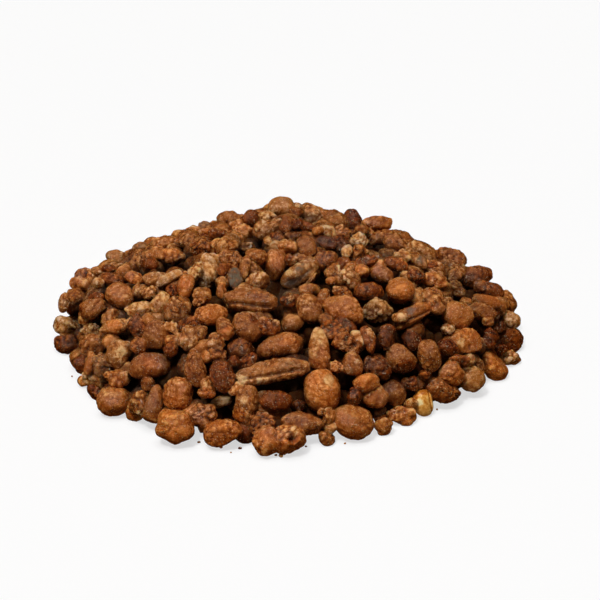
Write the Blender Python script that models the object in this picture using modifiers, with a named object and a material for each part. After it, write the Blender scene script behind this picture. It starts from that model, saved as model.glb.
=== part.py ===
"""A heap of candied pecan pieces, as it lies on a flat surface.

The heap is one closed solid, out to its uneven outline: a low dome with a flat foot, whose
skin is made of rounded lumps, each the size of one candied piece. The lumps stand in rings
from the foot to the top, and those of the lowest ring rest on the ground.

Metres, +Z up. The origin is the middle of the heap's bounding box, at ground level, and the
side seen in front faces -Y.
"""

import math
import random

import bmesh
import bpy
from mathutils import Matrix, Vector

# Driving dimensions, in metres.
FOOT_RADIUS = 0.1112  # mean distance from the middle to the outer edge of the lowest pieces
DOME_HEIGHT = 0.0590  # to the smooth skin's top. Single pieces stand a little above it
PIECE_DIAMETER = 0.0135  # mean thickness of a candied piece

# The foot isn't round. Each wave is (lobes, height in metres, direction of its first lobe in degrees).
OUTLINE_WAVES = ((1, 0.0019, 161), (2, 0.0048, 17), (3, 0.0018, 14), (4, 0.0032, -3), (7, 0.0010, 20))
# Shallow swells of the dome's skin: (lobes round the heap, height in metres, direction in degrees).
SKIN_SWELLS = ((2, 0.0030, 1), (3, 0.0040, -35))

PROFILE_POWER = 0.905  # of the dome's section. 1 is half an ellipse, and less is fuller at the shoulder
RING_PITCH = 1.10 * PIECE_DIAMETER  # between rings, and between the lumps of one ring
CORE_INSET = 0.62 * PIECE_DIAMETER  # from the skin down to the core that the lumps stand in
LONGEST_SHARE = 1.5  # longest lump's length, in mean diameters
SIZE_SPREAD = 0.22  # how far a lump's size strays from the mean, as a share of it
STRAY = 0.12 * PIECE_DIAMETER  # how far a lump strays from its place along the skin
BULGE = 0.22 * PIECE_DIAMETER  # how far a lump stands out of the skin or back from it

BELOW_GROUND = 0.006  # the core runs this far below the foot before it is cut off flat
VOXEL = 0.0025  # grain of the joined skin
KEPT_SHARE = 0.21  # of the joined skin's faces, once the flatter ones are merged
RANDOM_SEED = 11

CANDY_COLOUR = (0.245, 0.082, 0.022, 1.0)


def clear_scene():
    for thing in list(bpy.data.objects):
        bpy.data.objects.remove(thing, do_unlink=True)


def new_collection(name):
    collection = bpy.data.collections.new(name)
    bpy.context.scene.collection.children.link(collection)
    return collection


def new_object(name, mesh, collection):
    thing = bpy.data.objects.new(name, mesh)
    collection.objects.link(thing)
    return thing


def waves(angle, table):
    return sum(height * math.cos(lobes * (angle - math.radians(towards))) for lobes, height, towards in table)


def outline_radius(angle):
    """How far the heap's foot reaches in this direction."""
    return FOOT_RADIUS + waves(angle, OUTLINE_WAVES)


def skin_point(angle, rise, inset=0.0):
    """A point of the dome's smooth skin. rise goes from 0 at the foot to a quarter turn at the top."""
    reach = (outline_radius(angle) - inset) * math.cos(rise)
    height = (DOME_HEIGHT - inset) * math.sin(rise) ** PROFILE_POWER
    height += waves(angle, SKIN_SWELLS) * math.sin(2 * rise)
    return Vector((reach * math.cos(angle), reach * math.sin(angle), height))


def skin_normal(angle, rise):
    """The outward direction of the dome's skin, from its section."""
    step = 0.01
    low, high = max(rise - step, step), min(rise + step, math.pi / 2 - step)
    along = skin_point(angle, high) - skin_point(angle, low)
    round_the_heap = Vector((-math.sin(angle), math.cos(angle), 0.0))
    return round_the_heap.cross(along).normalized()


def ring_rises():
    """The rise of each ring of lumps, spaced evenly along the dome's section."""
    samples = 400
    length = 0.0
    rises = []
    last = skin_point(0.0, 0.0)
    for i in range(1, samples + 1):
        rise = i / samples * math.pi / 2
        point = skin_point(0.0, rise)
        length += (point - last).length
        last = point
        if length >= RING_PITCH * (len(rises) + 0.5):
            rises.append(rise)
    return rises


def add_lump(mesh, centre, outward, dice):
    """One candied piece: a ball drawn out along the skin, in any direction."""
    size = PIECE_DIAMETER / 2 * (1 + dice.uniform(-SIZE_SPREAD, SIZE_SPREAD))
    length = dice.triangular(1.0, LONGEST_SHARE, 1.0)
    axes = Vector((size * length, size, size * dice.uniform(0.80, 1.0)))
    lying = outward.to_track_quat("Z", "Y").to_matrix().to_4x4()
    turn = lying @ Matrix.Rotation(dice.uniform(0, math.tau), 4, "Z")
    shape = Matrix.Translation(centre) @ turn @ Matrix.Diagonal(axes).to_4x4()
    bmesh.ops.create_icosphere(mesh, subdivisions=2, radius=1.0, matrix=shape)


def add_rings_of_lumps(mesh):
    dice = random.Random(RANDOM_SEED)
    for number, rise in enumerate(ring_rises()):
        ring_radius = skin_point(0.0, rise).xy.length
        count = max(1, round(math.tau * ring_radius / RING_PITCH))
        for i in range(count):
            stray = dice.uniform(-STRAY, STRAY) / max(ring_radius, RING_PITCH)
            angle = math.tau * (i + number % 2 / 2) / count + stray
            depth = PIECE_DIAMETER / 2 + dice.uniform(-BULGE, BULGE)
            outward = skin_normal(angle, rise)
            centre = skin_point(angle, rise) - outward * depth
            centre.z = max(centre.z, PIECE_DIAMETER * 0.42)
            add_lump(mesh, centre, outward, dice)


def add_core(mesh):
    """The filled inside of the dome, which the lumps stand in."""
    made = bmesh.ops.create_uvsphere(mesh, u_segments=48, v_segments=24, radius=1.0)
    for vertex in made["verts"]:
        x, y, z = vertex.co
        rise = math.asin(max(-1.0, min(1.0, z)))
        point = skin_point(math.atan2(y, x), abs(rise), CORE_INSET)
        vertex.co = point if rise > 0 else Vector((point.x, point.y, -BELOW_GROUND * math.sin(-rise)))


def add_ground_cutter(collection):
    """A block whose top is the ground. What reaches below it is cut away."""
    side, depth = 4 * FOOT_RADIUS, 0.05
    bpy.ops.mesh.primitive_cube_add(size=1.0, location=(0, 0, -depth / 2))
    cutter = bpy.context.object
    cutter.name = "ground_cutter"
    cutter.scale = (side, side, depth)
    bpy.ops.object.transform_apply(scale=True)
    for other in list(cutter.users_collection):
        other.objects.unlink(cutter)
    collection.objects.link(cutter)
    cutter.hide_render = True
    cutter.display_type = "WIRE"
    return cutter


def candy_material():
    material = bpy.data.materials.new("candied crust")
    material.use_nodes = True
    shader = material.node_tree.nodes["Principled BSDF"]
    shader.inputs["Base Color"].default_value = CANDY_COLOUR
    shader.inputs["Roughness"].default_value = 0.45
    shader.inputs["Metallic"].default_value = 0.0
    return material


def centre_on_ground(thing):
    """Moves the joined shape so that the middle of its box, at ground level, is the origin."""
    bpy.context.view_layer.update()
    evaluated = thing.evaluated_get(bpy.context.evaluated_depsgraph_get())
    corners = [Vector(corner) for corner in evaluated.bound_box]
    middle = [(min(c[k] for c in corners) + max(c[k] for c in corners)) / 2 for k in range(2)]
    thing.data.transform(Matrix.Translation((-middle[0], -middle[1], 0.0)))


def make_heap(collection, cutter):
    shape = bmesh.new()
    add_core(shape)
    add_rings_of_lumps(shape)
    mesh = bpy.data.meshes.new("pecan_heap")
    shape.to_mesh(mesh)
    shape.free()
    heap = new_object("pecan_heap", mesh, collection)
    heap.data.materials.append(candy_material())

    skin = heap.modifiers.new("one_skin", "REMESH")
    skin.mode = "VOXEL"
    skin.voxel_size = VOXEL
    skin.use_smooth_shade = True
    fewer_faces = heap.modifiers.new("fewer_faces", "DECIMATE")
    fewer_faces.ratio = KEPT_SHARE
    foot = heap.modifiers.new("flat_foot", "BOOLEAN")
    foot.operation = "DIFFERENCE"
    foot.object = cutter
    centre_on_ground(heap)
    return heap


def main():
    clear_scene()
    parts = new_collection("candied pecan heap")
    cutters = new_collection("cutters")
    make_heap(parts, add_ground_cutter(cutters))


main()
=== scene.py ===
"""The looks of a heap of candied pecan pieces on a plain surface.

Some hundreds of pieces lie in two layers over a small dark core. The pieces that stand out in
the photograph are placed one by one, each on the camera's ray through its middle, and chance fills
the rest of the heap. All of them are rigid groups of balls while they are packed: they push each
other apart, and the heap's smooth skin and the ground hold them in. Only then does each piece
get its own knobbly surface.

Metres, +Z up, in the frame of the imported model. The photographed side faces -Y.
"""

import math
from collections import namedtuple
from itertools import product

import bpy
import numpy as np
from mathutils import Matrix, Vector
from mathutils.bvhtree import BVHTree

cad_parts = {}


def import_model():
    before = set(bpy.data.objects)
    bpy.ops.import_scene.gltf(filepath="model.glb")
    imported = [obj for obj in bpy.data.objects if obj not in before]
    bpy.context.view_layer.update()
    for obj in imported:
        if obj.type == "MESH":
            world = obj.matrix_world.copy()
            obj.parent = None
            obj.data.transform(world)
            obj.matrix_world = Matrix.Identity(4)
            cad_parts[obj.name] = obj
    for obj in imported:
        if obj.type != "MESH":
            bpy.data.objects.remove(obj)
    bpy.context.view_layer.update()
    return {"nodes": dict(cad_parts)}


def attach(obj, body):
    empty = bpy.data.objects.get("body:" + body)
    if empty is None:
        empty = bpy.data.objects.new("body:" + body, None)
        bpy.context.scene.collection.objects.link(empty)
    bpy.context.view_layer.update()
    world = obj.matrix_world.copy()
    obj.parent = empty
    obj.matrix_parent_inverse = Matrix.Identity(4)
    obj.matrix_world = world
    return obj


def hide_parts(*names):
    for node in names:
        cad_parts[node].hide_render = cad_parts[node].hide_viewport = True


MM = 0.001
HEAP_NODE = "pecan_heap"
BODY = "root"
RANDOM_SEED = 41

# ---- The camera, as in the photograph -------------------------------------------------------------
PICTURE = 600  # pixels along each side
LENS_MM, SENSOR_MM = 90.0, 36.0
CAMERA_RISE = math.radians(25.0)  # above the horizon
CAMERA_AIM = Vector((6.0, 50.8, 0.0)) * MM  # where the middle of the picture meets the ground
CAMERA_DISTANCE = 796.0 * MM

# ---- The heap's smooth skin -----------------------------------------------------------------------
EYE_HEIGHT = 6.0 * MM  # the skin is measured from the middle of the foot, this high above the ground
SKIN_SAMPLES = 2200
SKIN_BLUR = math.radians(6.0)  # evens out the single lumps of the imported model
SKIN_LIFT = 2.6 * MM  # the smooth skin runs this far outside the blurred one, at the lumps' tops
SKIN_GRID = (120, 32)  # steps round the heap, and from the ground to the top
SKIN_ROUNDS = 4  # corrections that bring a point to a given depth under the skin

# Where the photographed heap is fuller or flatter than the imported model: the way there from the eye
# (degrees round from +X, degrees up), how wide it is in degrees, and how high.
Swell = namedtuple("Swell", "round_to up_to width height")
SWELLS = (
    Swell(93, 36, 9, 4.5 * MM),
    Swell(118, 27, 12, 2.0 * MM),
    Swell(47, 30, 16, -5.0 * MM),
    Swell(172, 12, 14, 2.5 * MM),
    Swell(155, 24, 14, 1.5 * MM),
)


def unit(vectors):
    return vectors / np.maximum(np.linalg.norm(vectors, axis=-1, keepdims=True), 1e-12)


def way_to(round_to, up_to):
    """The unit direction this many degrees round from +X and this many up."""
    angle, rise = math.radians(round_to), math.radians(up_to)
    return np.array((math.cos(rise) * math.cos(angle), math.cos(rise) * math.sin(angle), math.sin(rise)))


def column_sums(index, values, count):
    """The rows of values that share an index, added up."""
    return np.stack([np.bincount(index, column, count) for column in values.T], axis=1)


class Camera:
    """A pinhole camera that looks level along +Y but for its rise."""

    def __init__(self):
        self.forward = np.array((0.0, math.cos(CAMERA_RISE), -math.sin(CAMERA_RISE)))
        self.right = np.array((1.0, 0.0, 0.0))
        self.up = np.cross(self.right, self.forward)
        self.place = np.array(CAMERA_AIM) - self.forward * CAMERA_DISTANCE
        self.focal = PICTURE * LENS_MM / SENSOR_MM

    def ray(self, x, y):
        """The unit direction from the camera through a pixel of the photograph."""
        across = (np.asarray(x) - PICTURE / 2)[..., None] / self.focal
        down = (np.asarray(y) - PICTURE / 2)[..., None] / self.focal
        return unit(self.forward + self.right * across - self.up * down)

    def metres_per_pixel(self, point):
        return float((point - self.place) @ self.forward) / self.focal

    def picture_of(self, points):
        """(x, y, distance) of each point, in pixels and metres."""
        arm = points - self.place
        away = arm @ self.forward
        x = PICTURE / 2 + arm @ self.right / away * self.focal
        y = PICTURE / 2 - arm @ self.up / away * self.focal
        return x, y, np.linalg.norm(arm, axis=-1)

    def make(self):
        data = bpy.data.cameras.new("camera")
        data.lens = LENS_MM
        data.sensor_width = SENSOR_MM
        camera = bpy.data.objects.new("camera", data)
        camera.location = Vector(self.place)
        camera.rotation_euler = (math.pi / 2 - CAMERA_RISE, 0.0, 0.0)
        bpy.context.scene.collection.objects.link(camera)
        bpy.context.scene.camera = camera


def spread_directions(count):
    """Unit directions spread evenly over the upper half of a sphere."""
    number = np.arange(count)
    height = (number + 0.5) / count
    angle = number * math.pi * (3 - math.sqrt(5))
    flat = np.sqrt(1 - height**2)
    return np.stack([flat * np.cos(angle), flat * np.sin(angle), height], axis=1)


class Skin:
    """The smooth outside of the heap: how far it reaches from its eye, in every direction."""

    def __init__(self, node):
        self.eye = np.array((0.0, 0.0, EYE_HEIGHT))
        mesh = node.data
        tree = BVHTree.FromPolygons([v.co for v in mesh.vertices], [p.vertices for p in mesh.polygons])
        ways = spread_directions(SKIN_SAMPLES)
        reach = np.array([tree.ray_cast(Vector(self.eye), Vector(way))[3] for way in ways])
        steps_round, steps_up = SKIN_GRID
        angle, rise = np.meshgrid(
            np.arange(steps_round) / steps_round * math.tau,
            np.arange(steps_up) / (steps_up - 1) * math.pi / 2,
            indexing="ij",
        )
        grid = np.stack([np.cos(rise) * np.cos(angle), np.cos(rise) * np.sin(angle), np.sin(rise)], axis=-1)
        cosine = np.clip(grid.reshape(-1, 3) @ ways.T, -1, 1)
        weight = np.exp((cosine - 1) / SKIN_BLUR**2)
        self.table = ((weight @ reach) / weight.sum(axis=1)).reshape(SKIN_GRID) + SKIN_LIFT
        for swell in SWELLS:
            cosine = grid @ way_to(swell.round_to, swell.up_to)
            self.table += swell.height * np.exp((cosine - 1) / math.radians(swell.width) ** 2)

    def level(self, points):
        """How far each point is from the skin, along its line from the eye. Inside is positive."""
        arm = points - self.eye
        distance = np.linalg.norm(arm, axis=-1)
        steps_round, steps_up = SKIN_GRID
        angle = np.arctan2(arm[..., 1], arm[..., 0]) / math.tau * steps_round
        sine = np.clip(arm[..., 2] / np.maximum(distance, 1e-9), 0, 1)
        rise = np.arcsin(sine) / (math.pi / 2) * (steps_up - 1)
        a0 = np.floor(angle).astype(int)
        r0 = np.clip(np.floor(rise).astype(int), 0, steps_up - 2)
        fa, fr = angle - a0, rise - r0
        a0 %= steps_round
        a1 = (a0 + 1) % steps_round
        low = self.table[a0, r0] * (1 - fa) + self.table[a1, r0] * fa
        high = self.table[a0, r0 + 1] * (1 - fa) + self.table[a1, r0 + 1] * fa
        return low * (1 - fr) + high * fr - distance

    def depth(self, points):
        """(how deep each point lies under the skin, the way straight out)"""
        step = 0.5 * MM
        moves = np.eye(3) * step
        slope = [(self.level(points + move) - self.level(points - move)) / (2 * step) for move in moves]
        slope = np.stack(slope, axis=-1)
        size = np.linalg.norm(slope, axis=-1, keepdims=True)
        return self.level(points) / size[..., 0], -slope / size

    def points(self, ways, depth=0.0):
        """The point at this depth under the skin in each direction from the eye."""
        reach = self.level(self.eye + ways) + 1.0
        points = self.eye + ways * reach[:, None]
        for _ in range(SKIN_ROUNDS):
            found, out = self.depth(points)
            points = points - out * (depth - found)[:, None]
        return points


# ---- What lies in the heap ------------------------------------------------------------------------
# A piece of the heap, before it has its surface. axes are half its length, breadth and thickness.
# balls are its stand-in while it is packed: (middles, radii), in its own frame. want is how far its
# outermost ball lies under the skin, and ray is the camera's ray that holds it, or None.
Piece = namedtuple("Piece", "kind tone axes balls centre turn want ray seed")

# A piece seen in the photograph: its middle, length and breadth in pixels, how many degrees its long
# axis rises to the right, its kind and its tone.
Seen = namedtuple("Seen", "x y length breadth rise kind tone")

SEEN = [Seen(*row) for row in (
    # along the top, from the peak to both sides
    (281, 208, 27, 21, 0, "round", "honey"), (296, 212, 14, 12, -30, "round", "umber"),
    (309, 215, 26, 21, -50, "broken", "tan"), (267, 216, 18, 13, 10, "broken", "honey"),
    (252, 219, 19, 18, 0, "round", "dark"), (229, 218, 25, 15, -5, "round", "brown"),
    (241, 229, 26, 15, -25, "broken", "amber"), (218, 234, 20, 11, 0, "broken", "dark"),
    (269, 228, 34, 20, 15, "cluster", "tan"), (286, 227, 15, 12, 90, "round", "umber"),
    (277, 239, 18, 13, -30, "broken", "dark"), (293, 236, 18, 9, 10, "oval", "umber"),
    (297, 225, 13, 13, 0, "broken", "burnt"), (308, 227, 15, 11, -25, "oval", "dark"),
    (318, 231, 13, 10, 20, "round", "amber"), (268, 241, 12, 8, -60, "chip", "brown"),
    (288, 247, 19, 14, -15, "round", "amber"), (306, 247, 22, 20, -60, "round", "brown"),
    (205, 227, 15, 12, -10, "chip", "ash"), (208, 231, 12, 9, 0, "broken", "amber"),
    (336, 222, 17, 12, 15, "round", "brown"), (353, 220, 20, 18, 90, "round", "burnt"),
    (377, 223, 30, 14, -3, "oval", "amber"), (325, 232, 22, 16, 0, "broken", "cream"),
    (343, 232, 18, 15, -30, "broken", "brown"), (362, 230, 15, 11, 0, "round", "brown"),
    (359, 241, 21, 15, 10, "broken", "cream"), (347, 251, 14, 12, 60, "oval", "cream"),
    (327, 243, 22, 13, -20, "chip", "burnt"), (382, 237, 26, 15, 20, "broken", "brown"),
    (396, 245, 22, 20, -40, "cluster", "brown"), (422, 250, 30, 13, -25, "oval", "honey"),
    (451, 259, 31, 20, -12, "broken", "brown"), (404, 256, 24, 16, -10, "cluster", "honey"),
    # the upper left
    (226, 246, 25, 16, 10, "cluster", "brown"), (247, 247, 17, 14, 0, "cluster", "tan"),
    (256, 256, 21, 16, -25, "round", "brown"), (231, 258, 24, 18, 0, "cluster", "brown"),
    (245, 268, 26, 12, 80, "oval", "brown"), (224, 268, 16, 12, 60, "round", "umber"),
    (200, 247, 21, 18, 30, "broken", "umber"), (184, 240, 18, 15, 0, "broken", "brown"),
    (163, 243, 23, 13, 15, "broken", "amber"), (172, 257, 27, 17, 10, "cluster", "amber"),
    (156, 254, 20, 16, 0, "cluster", "amber"), (150, 264, 18, 13, 0, "round", "dark"),
    (140, 247, 15, 11, 5, "broken", "ash"), (140, 260, 24, 19, 60, "cluster", "brown"),
    (117, 258, 22, 16, -15, "round", "tan"), (109, 269, 16, 10, 0, "broken", "dark"),
    (97, 271, 13, 10, 0, "round", "brown"), (82, 274, 18, 13, 25, "chip", "umber"),
    (82, 285, 24, 14, -10, "broken", "amber"), (112, 279, 24, 15, -20, "oval", "umber"),
    (98, 284, 14, 12, 30, "round", "tan"), (77, 297, 24, 17, -15, "broken", "brown"),
    (96, 297, 16, 12, 0, "broken", "dark"), (65, 303, 20, 12, 80, "broken", "tan"),
    (94, 309, 28, 21, 10, "round", "brown"), (121, 296, 31, 26, -30, "round", "amber"),
    (135, 278, 22, 14, -10, "broken", "amber"), (155, 279, 24, 15, 15, "oval", "tan"),
    (169, 278, 28, 11, 28, "oval", "cream"), (147, 292, 20, 14, 0, "cluster", "tan"),
    (172, 291, 14, 12, 60, "broken", "burnt"), (185, 287, 26, 18, 80, "round", "amber"),
    (196, 271, 22, 14, 60, "broken", "honey"), (209, 272, 34, 22, 80, "broken", "cream"),
    (236, 278, 21, 15, 85, "chip", "grey"), (221, 290, 18, 10, 80, "oval", "amber"),
    (161, 303, 24, 18, 60, "oval", "honey"), (138, 309, 26, 14, 10, "broken", "cream"),
    (179, 310, 30, 27, 60, "broken", "brown"), (203, 297, 22, 18, 80, "broken", "brown"),
    (212, 315, 33, 21, 5, "oval", "amber"),
    # the upper middle and right
    (275, 265, 31, 23, 75, "oval", "amber"), (300, 273, 43, 22, 33, "split", "tan"),
    (325, 261, 27, 19, 40, "broken", "umber"), (258, 280, 24, 18, 10, "cluster", "tan"),
    (336, 276, 24, 18, -60, "cluster", "brown"), (331, 281, 11, 10, 0, "round", "amber"),
    (351, 278, 24, 18, -60, "cluster", "pale"), (366, 261, 22, 11, 10, "broken", "dark"),
    (362, 271, 16, 15, 0, "round", "amber"), (382, 275, 24, 17, -20, "round", "brown"),
    (396, 264, 26, 14, -15, "oval", "umber"), (421, 262, 18, 14, -40, "round", "pale"),
    (433, 266, 11, 9, 0, "chip", "dark"), (416, 275, 18, 12, 0, "broken", "dark"),
    (435, 281, 27, 16, -25, "broken", "amber"), (455, 276, 16, 14, 30, "broken", "brown"),
    (477, 277, 30, 22, 20, "round", "umber"), (457, 289, 26, 14, -60, "cluster", "brown"),
    (488, 290, 34, 16, -15, "oval", "umber"), (487, 302, 32, 14, -12, "oval", "amber"),
    (480, 312, 32, 17, -10, "broken", "brown"), (466, 302, 13, 10, 0, "round", "brown"),
    (457, 316, 33, 28, -25, "round", "amber"), (434, 301, 30, 26, -60, "cluster", "brown"),
    (509, 320, 21, 17, -30, "round", "cream"), (488, 322, 13, 11, 0, "round", "brown"),
    (369, 291, 31, 18, 3, "oval", "dark"), (400, 291, 29, 27, -20, "round", "amber"),
    (378, 312, 30, 25, 15, "cluster", "honey"), (400, 318, 16, 11, 5, "round", "pale"),
    (412, 315, 42, 19, 25, "long", "brown"), (342, 293, 22, 13, -15, "broken", "umber"),
    (344, 310, 44, 28, -25, "oval", "amber"), (345, 327, 24, 17, -20, "broken", "burnt"),
    # the middle
    (250, 302, 56, 25, -4, "long", "brown"), (289, 300, 17, 15, 20, "broken", "burnt"),
    (307, 289, 18, 12, 10, "oval", "brown"), (309, 309, 30, 26, -60, "round", "brown"),
    (324, 297, 18, 12, 70, "oval", "brown"), (225, 329, 24, 18, -70, "oval", "brown"),
    (247, 328, 33, 26, -45, "round", "brown"), (270, 328, 21, 17, 0, "broken", "dark"),
    (293, 323, 23, 21, 0, "round", "amber"), (241, 349, 28, 23, 0, "round", "umber"),
    (235, 361, 12, 11, 0, "round", "burnt"), (280, 346, 49, 27, 15, "oval", "amber"),
    (334, 332, 28, 23, -20, "cluster", "dark"), (319, 349, 43, 21, -85, "oval", "amber"),
    (348, 344, 28, 19, -30, "cluster", "umber"), (352, 364, 26, 22, -75, "oval", "brown"),
    (369, 340, 28, 14, -70, "oval", "umber"), (387, 338, 27, 18, 80, "oval", "dark"),
    (412, 340, 22, 18, -60, "broken", "burnt"), (447, 347, 22, 18, 0, "round", "burnt"),
    (461, 342, 42, 27, 15, "broken", "amber"), (490, 338, 20, 15, 70, "broken", "burnt"),
    (509, 338, 28, 24, -30, "round", "umber"), (499, 326, 16, 14, 0, "broken", "dark"),
    (500, 350, 14, 12, 0, "broken", "burnt"), (377, 367, 31, 24, -15, "broken", "dark"),
    (401, 359, 33, 29, -10, "round", "brown"), (429, 356, 34, 23, -80, "oval", "brown"),
    (452, 373, 28, 26, -20, "round", "amber"), (460, 360, 22, 12, -10, "broken", "umber"),
    (471, 379, 27, 25, -30, "round", "honey"), (494, 366, 34, 24, -45, "oval", "glazed"),
    (512, 358, 20, 15, -10, "cluster", "tan"), (248, 361, 22, 14, 25, "broken", "burnt"),
    (273, 371, 75, 24, 9, "long", "tan"), (322, 391, 43, 37, -75, "round", "glazed"),
    (321, 412, 10, 9, 0, "round", "brown"), (366, 383, 27, 19, 15, "round", "amber"),
    (374, 396, 28, 26, -30, "round", "amber"), (355, 395, 18, 13, 80, "broken", "burnt"),
    (394, 393, 27, 24, -35, "round", "brown"), (411, 384, 18, 16, -40, "broken", "dark"),
    # the left side
    (66, 326, 26, 22, 0, "broken", "cream"), (67, 344, 25, 20, 0, "broken", "dark"),
    (90, 330, 21, 14, 0, "broken", "cream"), (110, 317, 20, 14, 50, "broken", "brown"),
    (114, 327, 32, 17, 15, "oval", "honey"), (137, 326, 26, 19, -70, "broken", "dark"),
    (94, 346, 27, 24, -30, "broken", "brown"), (157, 335, 32, 27, 70, "round", "brown"),
    (172, 328, 19, 13, -40, "cluster", "honey"), (193, 336, 31, 24, 35, "cluster", "brown"),
    (171, 349, 16, 14, 60, "oval", "dark"), (216, 351, 28, 19, -65, "cluster", "umber"),
    (139, 346, 18, 17, -20, "round", "umber"), (118, 354, 30, 25, 70, "round", "pale"),
    (90, 363, 24, 11, 75, "oval", "amber"), (103, 364, 24, 20, -60, "broken", "ash"),
    (97, 379, 30, 19, -10, "broken", "cream"), (84, 381, 13, 12, 0, "round", "amber"),
    (95, 392, 22, 13, -40, "broken", "burnt"), (149, 366, 42, 27, 12, "oval", "brown"),
    (116, 379, 27, 20, -10, "cluster", "amber"), (113, 402, 32, 30, 0, "round", "amber"),
    (139, 403, 29, 18, 65, "cluster", "brown"), (154, 404, 39, 19, 78, "oval", "brown"),
    (178, 394, 35, 31, 80, "round", "amber"), (195, 368, 38, 22, -80, "oval", "brown"),
    (222, 377, 32, 26, -70, "oval", "dark"), (206, 393, 17, 11, 5, "broken", "umber"),
    # along the foot
    (175, 427, 39, 35, -12, "star", "amber"), (204, 414, 28, 24, -20, "cluster", "brown"),
    (222, 401, 25, 12, 22, "oval", "cream"), (223, 433, 38, 28, 5, "round", "amber"),
    (246, 405, 40, 24, 75, "broken", "brown"), (276, 400, 34, 20, -5, "oval", "dark"),
    (298, 406, 16, 12, 20, "broken", "burnt"), (262, 423, 27, 24, 0, "cluster", "umber"),
    (279, 440, 54, 31, 3, "double", "amber"), (303, 424, 46, 24, -12, "oval", "brown"),
    (353, 422, 42, 34, -20, "round", "amber"), (383, 426, 19, 18, 60, "broken", "brown"),
    (380, 412, 12, 9, 20, "broken", "grey"), (401, 415, 31, 19, -5, "cluster", "amber"),
    (423, 403, 27, 21, -80, "bare", "golden"), (442, 390, 40, 24, -18, "oval", "brown"),
)]

# Spots on what the photograph shows at a pixel, for each kind: their middles and radii in pixels.
Spot = namedtuple("Spot", "x y radius")

SPOTS = {
    # sugar that dried pale, and in a few places painted highlights (the bare kernel's middle, a glint on a
    # broken piece)
    "cream": (
        (262, 381, 6), (242, 380, 5), (313, 352, 5), (320, 335, 10), (329, 380, 5), (244, 399, 4),
        (293, 431, 4), (345, 345, 4), (353, 352, 4), (349, 370, 4), (357, 362, 3), (121, 352, 7),
        (224, 358, 3), (227, 399, 6), (139, 412, 4), (98, 330, 3), (296, 261, 5), (288, 272, 4),
        (420, 402, 4), (249, 286, 4), (341, 270, 5), (336, 287, 4), (276, 322, 4), (290, 296, 4),
        (347, 251, 8), (401, 317, 5), (372, 331, 5), (154, 254, 3), (462, 341, 3), (269, 240, 4),
        (219, 228, 3), (80, 274, 4), (88, 270, 3),
    ),
    # crumbs of pale sugar
    "crumbs": (
        (183, 345, 7), (213, 344, 6), (258, 276, 7), (345, 281, 5), (505, 332, 5), (514, 343, 5),
    ),
    # clear caramel
    "amber": (
        (290, 345, 8), (313, 393, 9), (238, 416, 7), (262, 440, 8), (265, 451, 6), (366, 380, 8),
        (152, 366, 9), (207, 394, 6), (176, 432, 9), (170, 418, 6), (57, 346, 4), (114, 325, 7),
        (311, 270, 8), (275, 261, 9), (359, 240, 7), (362, 271, 6), (430, 305, 5), (402, 290, 7),
        (172, 253, 7), (205, 313, 6), (228, 333, 7), (186, 282, 6), (495, 369, 9), (470, 335, 6),
        (241, 226, 6), (404, 256, 7),
    ),
    # darker patches: burnt caramel in some places, painted shade in others, on a kernel's rim and a piece's
    # lower side
    "dark": (
        (424, 390, 5), (415, 396, 4), (278, 355, 5), (405, 368, 9), (73, 311, 7), (68, 350, 8),
        (85, 274, 3), (255, 318, 5), (353, 226, 7), (291, 280, 4),
    ),
    # bare grey skin
    "grey": (
        (299, 268, 6), (204, 222, 5), (139, 244, 5), (97, 339, 6), (421, 259, 5), (411, 309, 5),
    ),
    # a pit, cut in and darkened with painted shade
    "pit": (
        (293, 438, 5),
    ),
}

# A dark gap between the photographed pieces: its middle and radius in pixels.
Gap = namedtuple("Gap", "x y radius")

GAPS = [Gap(*row) for row in (
    (290, 388, 8), (302, 396, 7), (272, 386, 5), (304, 356, 5), (309, 409, 5), (134, 383, 6),
    (165, 377, 8), (172, 354, 4), (226, 411, 6), (220, 395, 5), (408, 376, 7), (392, 370, 5),
    (433, 328, 9), (277, 312, 7), (380, 348, 6), (401, 336, 6), (374, 249, 9), (249, 342, 5),
    (342, 378, 6), (483, 328, 6), (372, 326, 5), (448, 357, 5), (275, 287, 6), (324, 282, 6),
    (180, 264, 6), (309, 327, 6), (396, 303, 5), (421, 285, 4), (468, 288, 5), (397, 272, 5),
    (503, 350, 4), (366, 406, 5), (367, 300, 4), (325, 245, 4), (333, 350, 5), (262, 250, 5),
    (128, 335, 5), (192, 294, 4), (211, 331, 4), (164, 406, 4), (281, 328, 4), (218, 303, 4),
    (436, 373, 4), (208, 375, 4), (349, 393, 4),
)]

# A crumb that lies loose on the ground: its pixel, its breadth in millimetres and its tone.
Crumb = namedtuple("Crumb", "x y breadth tone")

CRUMBS = [Crumb(*row) for row in (
    (240, 449, 1.2, "burnt"), (221, 448, 1.6, "amber"), (281, 457, 1.9, "honey"),
    (276, 456, 1.1, "cream"), (306, 447, 0.9, "brown"), (231, 453, 0.8, "honey"),
    (199, 443, 1.1, "brown"), (133, 421, 1.0, "amber"), (72, 377, 0.9, "brown"),
    (437, 410, 0.9, "honey"), (345, 444, 0.9, "amber"),
)]

# What each kind of spot adds to a piece's (tone, paleness, greyness), and how deep it cuts.
SPOT_KINDS = {
    # mostly pale sugar, in a few places painted highlights
    "cream": (0.24, 0.46, 0.0, 0.0),
    "crumbs": (0.14, 0.36, 0.0, 0.0),
    "amber": (0.09, -0.20, 0.0, 0.0),
    # partly painted shade
    "dark": (-0.30, -0.20, 0.0, 0.0),
    "grey": (-0.05, -0.10, 0.8, 0.0),
    # the pit's darkening is painted shade
    "pit": (-0.60, -0.30, 0.0, 3.4 * MM),
}
SPOT_REACH = 7.0 * MM  # behind its nearest point, along the camera's ray
# Beside a spot's radius: how far it looks for its surface, where it ends, how wide its edge is, and how
# far its outline strays.
SPOT_SEARCH, SPOT_EDGE, SPOT_FADE, SPOT_RAGGED = 1.3, 1.15, 0.4, 0.5
SPOT_RAGGED_SIZE = 3.0 * MM

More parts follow.
